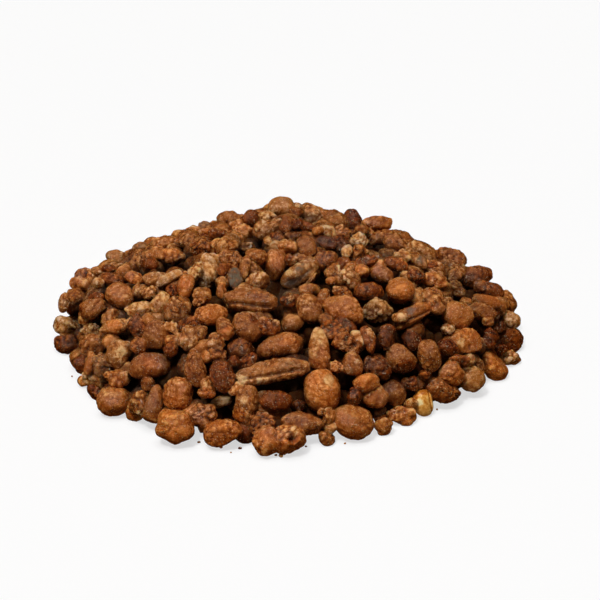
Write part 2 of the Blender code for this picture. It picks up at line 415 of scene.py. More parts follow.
# What a piece of each kind is like: how long it is where chance makes it, and how thick, both beside
# its breadth; how many lumps it has, their radius beside its own and how far they stand out of it; how
# many flat breaks; how much crust, as a share of the full relief; and the mesh that it is part of.
Kind = namedtuple("Kind", "length thickness lumps lump_radius lump_height breaks crust mesh")

KINDS = {
    "round": Kind((1.00, 1.25), (0.85, 1.00), 4, (0.35, 0.60), (0.02, 0.10), 2, 0.70, "round_pieces"),
    "oval": Kind((1.25, 1.80), (0.78, 0.98), 4, (0.35, 0.60), (0.00, 0.08), 2, 0.68, "oval_pieces"),
    "broken": Kind((1.05, 1.60), (0.70, 0.95), 5, (0.30, 0.55), (0.02, 0.14), 6, 1.05, "broken_pieces"),
    "cluster": Kind((1.15, 1.60), (0.75, 0.95), 8, (0.38, 0.58), (0.00, 0.14), 2, 1.30, "clusters"),
    "long": Kind((2.00, 2.60), (0.70, 0.85), 3, (0.30, 0.45), (0.00, 0.05), 2, 0.60, "long_halves"),
    "chip": Kind((1.15, 1.70), (0.34, 0.48), 2, (0.25, 0.40), (0.00, 0.05), 5, 0.80, "chips"),
    "split": Kind(None, (0.75, 0.85), 2, (0.30, 0.45), (0.00, 0.05), 2, 0.70, "long_halves"),
    "bare": Kind(None, (0.70, 0.85), 0, None, None, 0, 0.35, "bare_kernel"),
    "star": Kind(None, (0.72, 0.78), 1, (0.30, 0.40), (0.00, 0.05), 0, 0.65, "broken_pieces"),
    "double": Kind(None, (0.80, 0.90), 4, (0.30, 0.45), (0.02, 0.12), 1, 1.20, "clusters"),
    "crumb": Kind((1.0, 1.4), 0.8, 2, (0.40, 0.60), (0.00, 0.20), 5, 0.10, "chips"),
}
# What chance deals out: (kind or tone, share).
DEALT_KINDS = (
    ("round", 0.32), ("oval", 0.25), ("broken", 0.26), ("cluster", 0.10), ("long", 0.03), ("chip", 0.04),
)
DEALT_TONES = (("brown", 0.50), ("amber", 0.26), ("dark", 0.12), ("pale", 0.12))

MEAN_BREADTH = 11.8 * MM
BREADTH_SPREAD = 0.22
BREADTH_RANGE = (6.5 * MM, 17.5 * MM)
TUMBLED = ("round", "broken", "cluster")  # the kinds that lie any way up
TUMBLED_TILT, FLAT_TILT = 0.9, 0.35  # how far such a dealt piece leans, and any other
SEED_COUNT = 1 << 30  # of the numbers that a piece's own seed is drawn from

OUTER_TRIES, OUTER_DEPTH = 500, 6.0 * MM  # the outer layer that chance deals, at first
OUTER_SPACING = 10.0 * MM  # between the middles of dealt pieces and their nearest neighbours
# How far a dealt piece's outermost point lies under the skin: the least and the spread, in millimetres.
OUTER_SINK, GAP_SINK, OPENING_SINK = (0.3, 2.2), (0.5, 1.5), (0.5, 1.0)
INNER_COUNT, INNER_CENTRES = 330, 17.0 * MM  # the inner layer: its places, and their depth
INNER_DEPTH = 11.0 * MM  # how far the inner pieces' outermost points lie under the skin
DEEPEST = 30.0 * MM  # nothing lies deeper than this: the core is there
CORE_DEPTH = 25.0 * MM  # of the core's surface under the skin
CORE_FOOT_DEPTH = 12.0 * MM  # and at the ground
LOWEST_CENTRE = 4.0 * MM  # above the ground, of a dealt piece's first place

# A photographed piece's first place. Shares are beside half its breadth.
SEEN_STANDS_PROUD = 0.8 * MM  # of the skin
PROUD_MOST = 5.0 * MM  # the photographed pieces leave the smooth skin by no more than this
STRAY_MOST = 16.0 * MM  # and by this where they lie on the ground
SEEN_LOWEST, ON_GROUND_BELOW = 0.8, 1.3  # shares: the lowest middle, and what counts as on the ground
FACES_OUT, FACES_CAMERA = 0.6, 0.7  # how much its flat side turns each way
LEAN_MOST = 0.8  # slope of its long axis, towards the camera or off
LEAN_LENGTHENS_MOST = 1.25  # times the length that the picture shows
LONE_STRAY = 3.0 * MM  # a photographed piece this far out of the skin gets another one behind it, in the dark tone as painted shade
FOOT_FILL_DEPTH = 1.0 * MM
RAY_SPAN = (0.55, 0.95)  # the part of a camera's ray, in metres, that holds the heap
RAY_STEP = 0.5 * MM

# What chance adds where the heap or the picture is still open.
GAP_CLEAR = 5.0  # pixels from a gap's edge to the middle of any piece that chance deals
GAP_WAYS = 3000  # directions in which the skin is searched for open places
GAP_LOWEST = 3.0 * MM
GAP_APART, GAP_FILL = 2.2, 2.3  # distance between new pieces and their breadth, beside the room
OPENING_STEP = 4  # pixels between the tried places of the picture
OPENING_DEPTH = 5.0 * MM  # a piece this deep under the skin leaves its place open
OPENING_LEAST = 5.0  # pixels from an opening's middle to the nearest piece
OPENING_FILL, OPENING_RADIUS_LEAST = 1.25, 7.0  # a new piece's radius: beside that, and in pixels
PICTURE_X, PICTURE_Y = (45, 535), (190, 465)  # the pixels that hold the heap
PICTURE_RAY_STEP = 1.5 * MM  # along a camera's ray, in search of the skin
SMALL_RADIUS = 4.5 * MM  # of the smallest pieces that are added for the picture
# Each round: the new pieces' depth, the least room that takes one, and how many there may be.
FILL_ROUNDS = ((5 * MM, 4.2 * MM, 40), (5 * MM, 3.6 * MM, 60), (4 * MM, 3.2 * MM, 90))

# How the packing moves the pieces.
FIRST_STEPS, SECOND_STEPS, ROUND_STEPS, LAST_STEPS = 160, 60, 70, 60
PAIRS_KEPT = 8  # steps between two searches for near pairs
PAIR_MARGIN = 2.5 * MM
PULL, LAST_PULL = 0.12, 0.03  # out to a piece's wanted depth, as a share of what is missing
PULL_ROOM = 2.0 * MM  # most of what is missing that counts
HELD_FIRMNESS = 0.4  # a photographed piece takes this much less than half of a dealt one's push
PUSH_SHARING = 1.3  # a ball with more contacts than this takes the mean of their pushes, times this
PRESSED_IN, PRESSED_OUT = 0.7, 0.5  # share of what sticks out of the skin, or lies too deep
GROUND_CONTACT = 0.3 * MM
FALL_MM = 0.4  # inwards, at each step, of a piece that touches nothing
SPIN_MOST = 0.25  # radians at each step
HOLD, HOLD_PROUD = 0.6, 0.12  # share of the way back to a piece's ray, and where it would hang in the air
HANGS_BEYOND = 1.5 * MM  # past its wanted place in the skin
BALL_INERTIA = 0.4  # of a ball about its middle, beside its mass and squared radius
MOST_SUNK = 0.36  # into a neighbour, beside a ball's radius: what chance dealt is left out beyond it
MOST_HANGING = 1.0 * MM  # off everything else
MOST_HIDING = 0.62  # how much of a dealt piece may stand before a photographed one
SIGHT_MARGIN, SIGHT_BEHIND = 4.0, 4.0 * MM  # pixels aside, and behind a target, that are still watched
SIGHT_PUSH = 0.8 * MM  # most, at each step, off what a piece hides

# The balls that stand in for a piece. Shares are beside the mean radius of its section.
BALL_SHARE = 0.98
TWO_BALLS, THREE_BALLS, FOUR_BALLS = 0.12, 0.75, 1.4  # from this much spare half length on
END_TAPER, END_REACH = 0.16, 1.03  # how much smaller and farther out the end balls are


def deal(dice, table):
    names = [name for name, _ in table]
    shares = np.array([share for _, share in table])
    return names[dice.choice(len(names), p=shares / shares.sum())]


def sink(dice, least_and_spread):
    """How far a dealt piece lies under the skin, by chance, from a (least, spread) in millimetres."""
    least, spread = least_and_spread
    return least * MM + abs(dice.normal()) * spread * MM


def balls_for(kind, axes):
    """Balls that fill a piece of these half axes well enough to pack it."""
    length, breadth, thick = axes
    if kind == "chip":
        reach_x, reach_y = length - thick, breadth - thick
        middles = [(0, 0, 0), (reach_x, 0, 0), (-reach_x, 0, 0), (0, reach_y, 0), (0, -reach_y, 0)]
        return np.array(middles), np.full(5, thick)
    radius = math.sqrt(breadth * thick) * BALL_SHARE
    spare = length - radius
    if spare < TWO_BALLS * radius:
        return np.zeros((1, 3)), np.array([(length * breadth * thick) ** (1 / 3) * BALL_SHARE])
    count = 2 + int(spare > THREE_BALLS * radius) + int(spare > FOUR_BALLS * radius)
    along = np.linspace(-spare, spare, count)
    radii = radius * (1 - END_TAPER * (np.abs(along) / spare) ** 2)
    middles = np.stack([along * END_REACH, np.zeros(count), np.zeros(count)], axis=1)
    return middles, radii


def frame_from(along, out):
    """A turn whose x is as near to along as it gets and whose z points out."""
    z = unit(out)
    x = unit(along - z * (along @ z))
    return np.stack([x, np.cross(z, x), z], axis=1)


def dealt_piece(dice, centre, out, want, breadth=None):
    kind = deal(dice, DEALT_KINDS)
    if breadth is None:
        breadth = MEAN_BREADTH * math.exp(dice.normal() * BREADTH_SPREAD)
    breadth = float(np.clip(breadth, *BREADTH_RANGE))
    length = breadth * dice.uniform(*KINDS[kind].length)
    thick = breadth * dice.uniform(*KINDS[kind].thickness)
    axes = np.array((length, breadth, thick)) / 2
    tilt = TUMBLED_TILT if kind in TUMBLED else FLAT_TILT
    turn = frame_from(dice.normal(size=3), out + dice.normal(size=3) * tilt)
    seed = int(dice.integers(SEED_COUNT))
    return Piece(kind, deal(dice, DEALT_TONES), axes, balls_for(kind, axes), centre, turn, want, None, seed)


def seen_piece(dice, seen, camera, skin):
    """A piece from the photograph, on the camera's ray, where that ray first dips under the skin."""
    way = camera.ray(seen.x, seen.y)
    half = 0.5 * seen.breadth * camera.metres_per_pixel(np.zeros(3))
    points = camera.place + way * np.arange(*RAY_SPAN, RAY_STEP)[:, None]
    depth, out = skin.depth(points)
    depth[points[:, 2] < SEEN_LOWEST * half] = -1.0
    under = np.nonzero(depth >= half)[0]
    index = under[0] if len(under) else int(np.argmax(depth))
    centre, out = points[index], out[index]
    most = STRAY_MOST if centre[2] < ON_GROUND_BELOW * half else PROUD_MOST
    want = float(np.clip(depth[index] - half, -most, -SEEN_STANDS_PROUD))
    scale = camera.metres_per_pixel(centre) / 2
    rise = math.radians(seen.rise)
    along = camera.right * math.cos(rise) + camera.up * math.sin(rise)
    facing = unit(out * FACES_OUT - way * FACES_CAMERA)
    lean = float(np.clip(-(along @ facing) / (way @ facing), -LEAN_MOST, LEAN_MOST))
    turn = frame_from(along + way * lean, facing)
    length = seen.length * scale * min(math.hypot(1, lean), LEAN_LENGTHENS_MOST)
    breadth = seen.breadth * scale
    thick = breadth * dice.uniform(*KINDS[seen.kind].thickness)
    axes = np.array((length, breadth, thick))
    seed = int(dice.integers(SEED_COUNT))
    return Piece(seen.kind, seen.tone, axes, balls_for(seen.kind, axes), centre, turn, want, way, seed)


class Pile:
    """The pieces as rigid groups of balls, pushed apart until they only touch."""

    def __init__(self, pieces, skin, camera):
        self.skin, self.camera = skin, camera
        self.pieces = list(pieces)
        self.centre = np.array([p.centre for p in pieces])
        self.turn = np.array([p.turn for p in pieces])
        self.want = np.array([p.want for p in pieces])
        self.owner = np.concatenate([np.full(len(p.balls[1]), i) for i, p in enumerate(pieces)])
        self.local = np.concatenate([p.balls[0] for p in pieces])
        self.radius = np.concatenate([p.balls[1] for p in pieces])
        self.held = np.array([p.ray is not None for p in pieces])
        self.ray = np.array([p.ray if p.ray is not None else (0.0, 0.0, 1.0) for p in pieces])
        self.weight = self.radius**3
        self.mass = np.bincount(self.owner, self.weight)

    def places(self):
        return self.centre[self.owner] + np.einsum("ijk,ik->ij", self.turn[self.owner], self.local)

    def near_pairs(self, places, margin):
        gap = np.linalg.norm(places[:, None] - places[None], axis=2)
        gap -= self.radius[:, None] + self.radius[None]
        first, second = np.nonzero(np.triu(gap < margin, 1))
        apart = self.owner[first] != self.owner[second]
        return first[apart], second[apart]

    def targets(self, picture):
        """(x, y, size, distance) of what chance's pieces mustn't hide: photographed balls, then gaps."""
        x, y, away = picture
        seen = self.held[self.owner]
        size = self.radius * self.camera.focal / away
        balls = np.stack([x, y, size, away])[:, seen]
        gaps = np.array([(gap.x, gap.y, gap.radius, np.inf) for gap in GAPS]).T
        return np.concatenate([balls, gaps], axis=1)

    def covers(self, picture, pairs):
        """How far each ball of the pairs covers its target, beside its own size, and the way off it."""
        first, second = pairs
        x, y, away = picture
        target_x, target_y, target_size, target_away = self.targets(picture)[:, second]
        size = self.radius[first] * self.camera.focal / away[first]
        right, down = x[first] - target_x, y[first] - target_y
        apart = np.maximum(np.hypot(right, down), 1e-6)
        cover = np.clip((size + target_size - apart) / size, 0, 1) * (away[first] < target_away)
        aside = self.camera.right * (right / apart)[:, None] - self.camera.up * (down / apart)[:, None]
        return cover, aside

    def sight_pairs(self, places):
        """(free outer ball, target) pairs near each other in the picture."""
        picture = self.camera.picture_of(places)
        x, y, away = picture
        target_x, target_y, target_size, target_away = self.targets(picture)
        out = self.skin.depth(places)[1]
        near_side = ((places - self.camera.place) * out).sum(axis=1) < 0
        free = ~self.held[self.owner] & (self.want[self.owner] < INNER_DEPTH) & near_side
        size = self.radius * self.camera.focal / away
        apart = np.hypot(x[:, None] - target_x[None], y[:, None] - target_y[None])
        close = apart < size[:, None] + target_size[None] + SIGHT_MARGIN
        return np.nonzero(close & free[:, None] & (away[:, None] < target_away[None] + SIGHT_BEHIND))

    def gather(self, values):
        """Sums of ball values over each piece, weighted by the balls' volume."""
        return column_sums(self.owner, values * self.weight[:, None], len(self.centre))

    def step(self, pairs, sights, pull):
        """Moves every piece off those it overlaps or hides, and towards its depth under the skin."""
        places = self.places()
        first, second = pairs
        gap = places[second] - places[first]
        distance = np.maximum(np.linalg.norm(gap, axis=1), 1e-6)
        overlap = np.maximum(self.radius[first] + self.radius[second] - distance, 0)
        shift = gap * (overlap / distance)[:, None]
        held = self.held[self.owner].astype(float)
        share = 0.5 - HELD_FIRMNESS * (held[first] - held[second])[:, None]
        push = column_sums(second, shift * (1 - share), len(places))
        push -= column_sums(first, shift * share, len(places))
        touching = (overlap > 0).astype(float)
        count = np.bincount(first, touching, len(places)) + np.bincount(second, touching, len(places))
        push *= (PUSH_SHARING / np.maximum(count, PUSH_SHARING))[:, None]

        depth, out = self.skin.depth(places)
        spare = depth - self.radius - self.want[self.owner]
        push += out * np.minimum(spare, 0)[:, None] * PRESSED_IN
        closest = np.full(len(self.centre), np.inf)
        np.minimum.at(closest, self.owner, spare)
        push += out * np.clip(closest, 0, PULL_ROOM)[self.owner][:, None] * pull
        too_deep = np.maximum(depth + self.radius - DEEPEST, 0)
        push += out * too_deep[:, None] * PRESSED_OUT
        on_ground = places[:, 2] < self.radius + GROUND_CONTACT
        push[:, 2] += np.maximum(self.radius - places[:, 2] - push[:, 2], 0)
        cover, aside = self.covers(self.camera.picture_of(places), sights)
        sight = (aside + unit(places - self.camera.place)[sights[0]]) * (cover * SIGHT_PUSH)[:, None]
        sight = column_sums(sights[0], sight, len(places))
        push += np.clip(sight, -SIGHT_PUSH, SIGHT_PUSH)
        contacts = np.bincount(self.owner, count + on_ground)
        push -= out * (contacts == 0)[self.owner][:, None] * FALL_MM * MM

        move = self.gather(push) / self.mass[:, None]
        arm = places - self.centre[self.owner]
        torque = self.gather(np.cross(arm, push))
        spread = (arm**2).sum(1) + BALL_INERTIA * self.radius**2
        inertia = np.bincount(self.owner, self.weight * spread)
        spin = torque / inertia[:, None]
        spin[self.held] = 0
        self.centre += move
        self.turn = turned(self.turn, spin)
        self.hold(closest)

    def hold(self, closest):
        """Brings each photographed piece back to its ray, but hardly where it would hang in the air."""
        arm = self.centre - self.camera.place
        along = (arm * self.ray).sum(axis=1, keepdims=True)
        on_ray = self.camera.place + self.ray * along
        share = np.where(closest < -HANGS_BEYOND, HOLD_PROUD, HOLD)[:, None]
        self.centre[self.held] += (share * (on_ray - self.centre))[self.held]

    def relax(self, steps, pull=PULL):
        for number in range(steps):
            if number % PAIRS_KEPT == 0:
                pairs = self.near_pairs(self.places(), PAIR_MARGIN)
                sights = self.sight_pairs(self.places())
            self.step(pairs, sights, pull)

    def overlaps(self):
        """How deep each piece sinks into others, beside its own ball's radius."""
        places = self.places()
        first, second = self.near_pairs(places, 0.0)
        radius = self.radius
        sunk = radius[first] + radius[second] - np.linalg.norm(places[second] - places[first], axis=1)
        worst = np.zeros(len(self.centre))
        np.maximum.at(worst, self.owner[first], sunk / radius[first])
        np.maximum.at(worst, self.owner[second], sunk / radius[second])
        return worst

    def hanging(self):
        """How far each piece is from the nearest other one, or from the ground."""
        places = self.places()
        gap = np.linalg.norm(places[:, None] - places[None], axis=2)
        gap = gap - self.radius[:, None] - self.radius[None]
        gap[self.owner[:, None] == self.owner[None]] = np.inf
        nearest = np.minimum(gap.min(axis=1), places[:, 2] - self.radius)
        least = np.full(len(self.centre), np.inf)
        np.minimum.at(least, self.owner, nearest)
        return least

    def hiding(self):
        """How much of itself each dealt piece holds before a photographed one, or before a gap."""
        places = self.places()
        pairs = self.sight_pairs(places)
        cover, _ = self.covers(self.camera.picture_of(places), pairs)
        worst = np.zeros(len(self.centre))
        np.maximum.at(worst, self.owner[pairs[0]], cover)
        return worst

    def settled(self):
        """The pieces where they lie now, without dealt ones that are in the way or lie on nothing."""
        fits = (self.overlaps() < MOST_SUNK) & (self.hanging() < MOST_HANGING)
        kept = self.held | fits & (self.hiding() < MOST_HIDING)
        return [
            piece._replace(centre=centre, turn=turn)
            for piece, centre, turn, keep in zip(self.pieces, self.centre, self.turn, kept)
            if keep
        ]


def turned(turns, spins):
    """Each turn followed by a small rotation, given as its axis times its angle."""
    angle = np.linalg.norm(spins, axis=1)
    x, y, z = unit(spins).T
    angle = np.minimum(angle, SPIN_MOST)
    zero = np.zeros_like(x)
    cross = np.stack([zero, -z, y, z, zero, -x, -y, x, zero], axis=1).reshape(-1, 3, 3)
    sine, rest = np.sin(angle)[:, None, None], (1 - np.cos(angle))[:, None, None]
    return (np.eye(3) + sine * cross + rest * (cross @ cross)) @ turns


def in_gap(centre, out, camera):
    """Whether a piece in this place would fill one of the photographed gaps."""
    if (centre - camera.place) @ out > 0:
        return False
    x, y, _ = camera.picture_of(centre)
    return any(math.hypot(x - gap.x, y - gap.y) < gap.radius + GAP_CLEAR for gap in GAPS)


def fill_gaps(dice, pile, ways, depth, least, most):
    """New pieces for the widest open places, the widest first and none on top of each other."""
    points = pile.skin.points(ways, depth)
    points = points[points[:, 2] > GAP_LOWEST]
    outs = pile.skin.depth(points)[1]
    room = (np.linalg.norm(points[:, None] - pile.places()[None], axis=2) - pile.radius).min(axis=1)
    found = []
    for index in np.argsort(-room):
        if room[index] < least or len(found) >= most:
            break
        if any(np.linalg.norm(points[index] - other.centre) < GAP_APART * room[index] for other in found):
            continue
        if in_gap(points[index], outs[index], pile.camera):
            continue
        want = sink(dice, GAP_SINK)
        found.append(dealt_piece(dice, points[index], outs[index], want, breadth=room[index] * GAP_FILL))
    return found


def picture_places(skin, camera):
    """Pixels all over the photographed side, and where a small piece under the skin would lie at each."""
    x, y = np.meshgrid(np.arange(*PICTURE_X, OPENING_STEP), np.arange(*PICTURE_Y, OPENING_STEP))
    x, y = x.ravel(), y.ravel()
    ways = camera.ray(x, y)
    place = np.full(ways.shape, np.nan)
    for distance in np.arange(*RAY_SPAN, PICTURE_RAY_STEP):
        points = camera.place + ways * distance
        inside = (skin.level(points) > SMALL_RADIUS) & (points[:, 2] > LOWEST_CENTRE)
        new = np.isnan(place[:, 0]) & inside
        place[new] = points[new]
    found = ~np.isnan(place[:, 0])
    return x[found], y[found], place[found]


def fill_openings(dice, pile, picture, least, most):
    """New pieces wherever the picture shows neither an outer piece nor a gap, the widest opening first."""
    x, y, points = picture
    outs = pile.skin.depth(points)[1]
    places = pile.places()
    ball_x, ball_y, away = pile.camera.picture_of(places)
    outer = pile.skin.depth(places)[0] - pile.radius < OPENING_DEPTH
    size = pile.radius * pile.camera.focal / away
    discs = np.stack([ball_x, ball_y, size])[:, outer]
    discs = np.concatenate([discs, np.array([(g.x, g.y, g.radius) for g in GAPS]).T], axis=1)
    room = np.hypot(x[:, None] - discs[0], y[:, None] - discs[1]) - discs[2]
    room = room.min(axis=1)
    found = []
    for _ in range(most):
        index = int(np.argmax(room))
        if room[index] < least:
            break
        radius = max(room[index] * OPENING_FILL, OPENING_RADIUS_LEAST)
        breadth = 2 * radius * pile.camera.metres_per_pixel(points[index])
        want = sink(dice, OPENING_SINK)
        found.append(dealt_piece(dice, points[index], outs[index], want, breadth=breadth))
        room = np.minimum(room, np.hypot(x - x[index], y - y[index]) - radius)
    return found


def crumbs_on_ground(camera):
    dice = np.random.default_rng(RANDOM_SEED)
    crumbs = []
    for crumb in CRUMBS:
        shape = (dice.uniform(*KINDS["crumb"].length), 1.0, KINDS["crumb"].thickness)
        axes = np.array(shape) * crumb.breadth / 2 * MM
        way = camera.ray(crumb.x, crumb.y)
        centre = camera.place - way * (camera.place[2] / way[2])
        centre[2] = axes[2]
        turn = frame_from(dice.normal(size=3), np.array((0.0, 0.0, 1.0)))
        seed = int(dice.integers(SEED_COUNT))
        crumbs.append(Piece("crumb", crumb.tone, axes, None, centre, turn, 0.0, way, seed))
    return crumbs


def packed_pieces(skin, camera):
    dice = np.random.default_rng(RANDOM_SEED)
    pieces = [seen_piece(dice, seen, camera, skin) for seen in SEEN]
    centres = skin.points(spread_directions(OUTER_TRIES), OUTER_DEPTH)
    for centre, out in zip(centres, skin.depth(centres)[1]):
        if min(np.linalg.norm(other.centre - centre) for other in pieces) < OUTER_SPACING:
            continue
        if in_gap(centre, out, camera):
            continue
        pieces.append(dealt_piece(dice, centre, out, sink(dice, OUTER_SINK)))
    centres = skin.points(spread_directions(INNER_COUNT), INNER_CENTRES)
    for centre, out in zip(centres, skin.depth(centres)[1]):
        if centre[2] > LOWEST_CENTRE:
            pieces.append(dealt_piece(dice, centre, out, INNER_DEPTH))
    for front in [p for p in pieces if p.ray is not None and p.want < -LONE_STRAY]:
        inward = unit(-front.centre * (1, 1, 0))
        centre = front.centre + inward * 2 * front.axes[1]
        # the piece behind gets the dark tone as painted shade behind the stray one
        pieces.append(dealt_piece(dice, centre, -inward, FOOT_FILL_DEPTH)._replace(tone="dark"))
    pile = Pile(pieces, skin, camera)
    pile.relax(FIRST_STEPS)
    pile = Pile(pile.settled(), skin, camera)
    pile.relax(SECOND_STEPS)
    gap_ways = spread_directions(GAP_WAYS)
    picture = picture_places(skin, camera)
    for depth, least, most in FILL_ROUNDS:
        pile = Pile(pile.settled(), skin, camera)
        extra = fill_openings(dice, pile, picture, OPENING_LEAST, most)
        pile = Pile(pile.pieces + extra, skin, camera)
        extra = fill_gaps(dice, pile, gap_ways, depth, least, most)
        pile = Pile(pile.pieces + extra, skin, camera)
        pile.relax(ROUND_STEPS)
    pile.relax(LAST_STEPS, pull=LAST_PULL)
    return pile.settled()


# ---- Surfaces -------------------------------------------------------------------------------------
SHEET_MARGIN = 0.03  # round each side of a piece's net in its map, beside the side


def square_net(steps):
    """A cube's faces as grids: unit directions, quads, and each quad corner's place in a 3 by 2 sheet."""
    ticks = np.linspace(-1, 1, steps + 1)
    bent = np.tan(ticks * math.pi / 4)
    u, v = np.meshgrid(bent, bent, indexing="ij")
    one = np.ones_like(u)
    sides = [(one, u, v), (-one, v, u), (v, one, u), (u, -one, v), (u, v, one), (v, u, -one)]
    points = np.concatenate([np.stack(side, axis=-1).reshape(-1, 3) for side in sides])
    _, first, index = np.unique(np.round(points, 6), axis=0, return_index=True, return_inverse=True)
    index = index.reshape(6, steps + 1, steps + 1)
    quads, sheet = [], []
    for side in range(6):
        column, row = side % 3, side // 3
        for i, j in product(range(steps), repeat=2):
            corners = ((i, j), (i + 1, j), (i + 1, j + 1), (i, j + 1))
            quads.append([index[side][c] for c in corners])
            local = [SHEET_MARGIN + (1 - 2 * SHEET_MARGIN) * np.array(c) / steps for c in corners]
            sheet.append([((column + p[0]) / 3, (row + p[1]) / 2) for p in local])
    return unit(points[first]), np.array(quads), np.array(sheet)


NOISE_SEED, NOISE_CELLS = 7, 256
NOISE_SCALE = 1.5  # brings its swells to about 1
GRAIN_STRAY = 0.42  # of a grain from the middle of its cell
GRAIN_FALL = 1.5  # how fast a grain's height falls off with the square of the distance


def noise_tables():
    dice = np.random.default_rng(NOISE_SEED)
    order = dice.permutation(NOISE_CELLS)
    slopes = unit(dice.normal(size=(NOISE_CELLS, 3)))
    return order, slopes, dice.uniform(-GRAIN_STRAY, GRAIN_STRAY, (NOISE_CELLS, 3))


NOISE_ORDER, NOISE_SLOPES, GRAIN_SHIFTS = noise_tables()


def cell_number(cell):
    """A number from the tables for each cell of the grid, the same for the same cell."""
    number = 0
    for k in range(3):
        number = NOISE_ORDER[(number + cell[:, k]) % NOISE_CELLS]
    return number


def noise(points, size):
    """Smooth noise from about -1 to 1, whose swells are about this far apart."""
    points = points / size
    base = np.floor(points).astype(np.int64)
    part = points - base
    fade = part**3 * (part * (part * 6 - 15) + 10)
    total = np.zeros(len(points))
    for corner in product((0, 1), repeat=3):
        height = ((part - corner) * NOISE_SLOPES[cell_number(base + corner)]).sum(axis=1)
        total += height * np.where(corner, fade, 1 - fade).prod(axis=1)
    return total * NOISE_SCALE


def grains(points, size):
    """Round grains from 0 between them to 1 at their tops, this far apart."""
    points = points / size
    base = np.floor(points).astype(np.int64)
    nearest = np.full(len(points), np.inf)
    for corner in product((-1, 0, 1), repeat=3):
        cell = base + corner
        middle = cell + 0.5 + GRAIN_SHIFTS[cell_number(cell)]
        nearest = np.minimum(nearest, ((points - middle) ** 2).sum(axis=1))
    return np.maximum(0, 1 - GRAIN_FALL * nearest)


def smooth_most(values, power):
    return (np.maximum(values, 1e-6) ** power).sum(axis=0) ** (1 / power)


def ball_exit(ways, middle, radius):
    """How far a ray from the origin runs before it leaves a ball. 0 where it misses."""
    along = ways @ middle
    room = along**2 - middle @ middle + radius**2
    return np.where(room > 0, along + np.sqrt(np.maximum(room, 0)), 0)


# A groove or slit along a piece: its width and depth beside the piece's own, and how much painted shade it
# gets.
Groove = namedtuple("Groove", "width depth dark")
GROOVES = {
    "long": Groove(0.17, 0.30, 0.25),
    "split": Groove(0.30, 0.30, 0.35),
    "bare": Groove(0.09, 0.25, 0.4),
}
GROOVE_LINE, GROOVE_WAVE, GROOVE_WAVES = -0.42, 0.06, 4  # where a groove runs, and how it wanders
GROOVE_ENDS = 1.4  # how late it fades towards the piece's ends
SLIT_LINE = 0.62  # where a bare kernel's slit runs

LONG_POWER, OTHER_POWERS = 2.5, (2.0, 2.4)  # of the outline: 2 is an ellipse, and more is squarer
LUMPY_HULL, DOUBLE_HULL = 0.82, 0.72  # the hull's share where lumps or balls make up the shape
DOUBLE_BALLS = ((-1, 0.92), (1, 1.0))  # of a double piece: the end and the radius, beside its breadth
STAR_CORNERS, STAR_MEAN, STAR_HEIGHT, STAR_TURN = 5, 0.97, 0.06, 0.6  # its outline's waves
BLEND_POWER, CUT_POWER = 10, 12  # how sharply lumps join and breaks cut
CUT_SHARE = (0.72, 0.94)  # how far from the middle a break lies
TAPER, SIDE_BEND, UP_BEND = (-0.16, 0.16), (-0.12, 0.12), (-0.12, 0.05)  # of the longer kinds


def hull_layers(piece, aim, dice):
    """How far the hull and each lump on it reach from the piece's middle."""
    axes, kind = piece.axes, piece.kind
    power = LONG_POWER if kind == "long" else dice.uniform(*OTHER_POWERS)
    hull = (np.abs(aim / axes) ** power).sum(axis=1) ** (-1 / power)
    if kind == "star":
        corners = np.cos(STAR_CORNERS * np.arctan2(aim[:, 1], aim[:, 0]) + STAR_TURN)
        hull *= STAR_MEAN + STAR_HEIGHT * corners * (1 - aim[:, 2] ** 2)
    layers = [hull * {"cluster": LUMPY_HULL, "double": DOUBLE_HULL}.get(kind, 1.0)]
    if kind == "double":
        for side, radius in DOUBLE_BALLS:
            middle = np.array((side * (axes[0] - radius * axes[1]), 0.0, 0.0))
            layers.append(ball_exit(aim, middle, radius * axes[1]))
    size = float(np.prod(axes)) ** (1 / 3)
    for _ in range(KINDS[kind].lumps):
        way = unit(dice.normal(size=3)) * axes
        reach = np.linalg.norm(way)
        radius = size * dice.uniform(*KINDS[kind].lump_radius)
        reach *= 1 + dice.uniform(*KINDS[kind].lump_height)
        layers.append(ball_exit(aim, unit(way) * (reach - radius), radius))
    return np.stack(layers)


def base_shape(piece, ways):
    """The piece's outer form without its crust, in its own frame, and how much painted shade each point
    gets in a groove or slit.
    """
    dice = np.random.default_rng(piece.seed)
    axes = piece.axes
    aim = unit(ways * axes)
    reach = smooth_most(hull_layers(piece, aim, dice), BLEND_POWER)
    for _ in range(KINDS[piece.kind].breaks):
        way = unit(dice.normal(size=3))
        plane = np.linalg.norm(way * axes) * dice.uniform(*CUT_SHARE)
        cut = plane / np.maximum(aim @ way, 1e-3)
        reach = (reach**-CUT_POWER + cut**-CUT_POWER) ** (-1 / CUT_POWER)
    points = aim * reach[:, None]
    low, high = points.min(axis=0), points.max(axis=0)
    points = (points - (low + high) / 2) * (2 * axes / (high - low))
    along, across = points[:, 0] / axes[0], points[:, 1] / axes[1]
    if piece.kind in ("oval", "long", "split", "bare"):
        bend = 1.5 * along**2 - 0.5  # bends the ends one way and the middle the other
        points[:, 1:] *= (1 + dice.uniform(*TAPER) * along)[:, None]
        points[:, 1] += dice.uniform(*SIDE_BEND) * axes[1] * bend
        points[:, 2] += dice.uniform(*UP_BEND) * axes[2] * bend
    if piece.kind not in GROOVES:
        return points, np.zeros(len(points))
    groove = GROOVES[piece.kind]
    line = SLIT_LINE
    if piece.kind != "bare":
        line = GROOVE_LINE + GROOVE_WAVE * np.sin(along * GROOVE_WAVES + dice.uniform(0, 6))
    share = np.exp(-(((across - line) / groove.width) ** 2)) * (points[:, 2] > 0)
    if piece.kind != "bare":
        share *= np.clip(GROOVE_ENDS * (1 - along**2), 0, 1)
    points[:, 2] -= share * axes[2] * groove.depth
    return points, share * groove.dark


def over_corners(quads, values, count):
    """Each quad's value summed at its four corners."""
    return sum(column_sums(corner, values, count) for corner in quads.T)


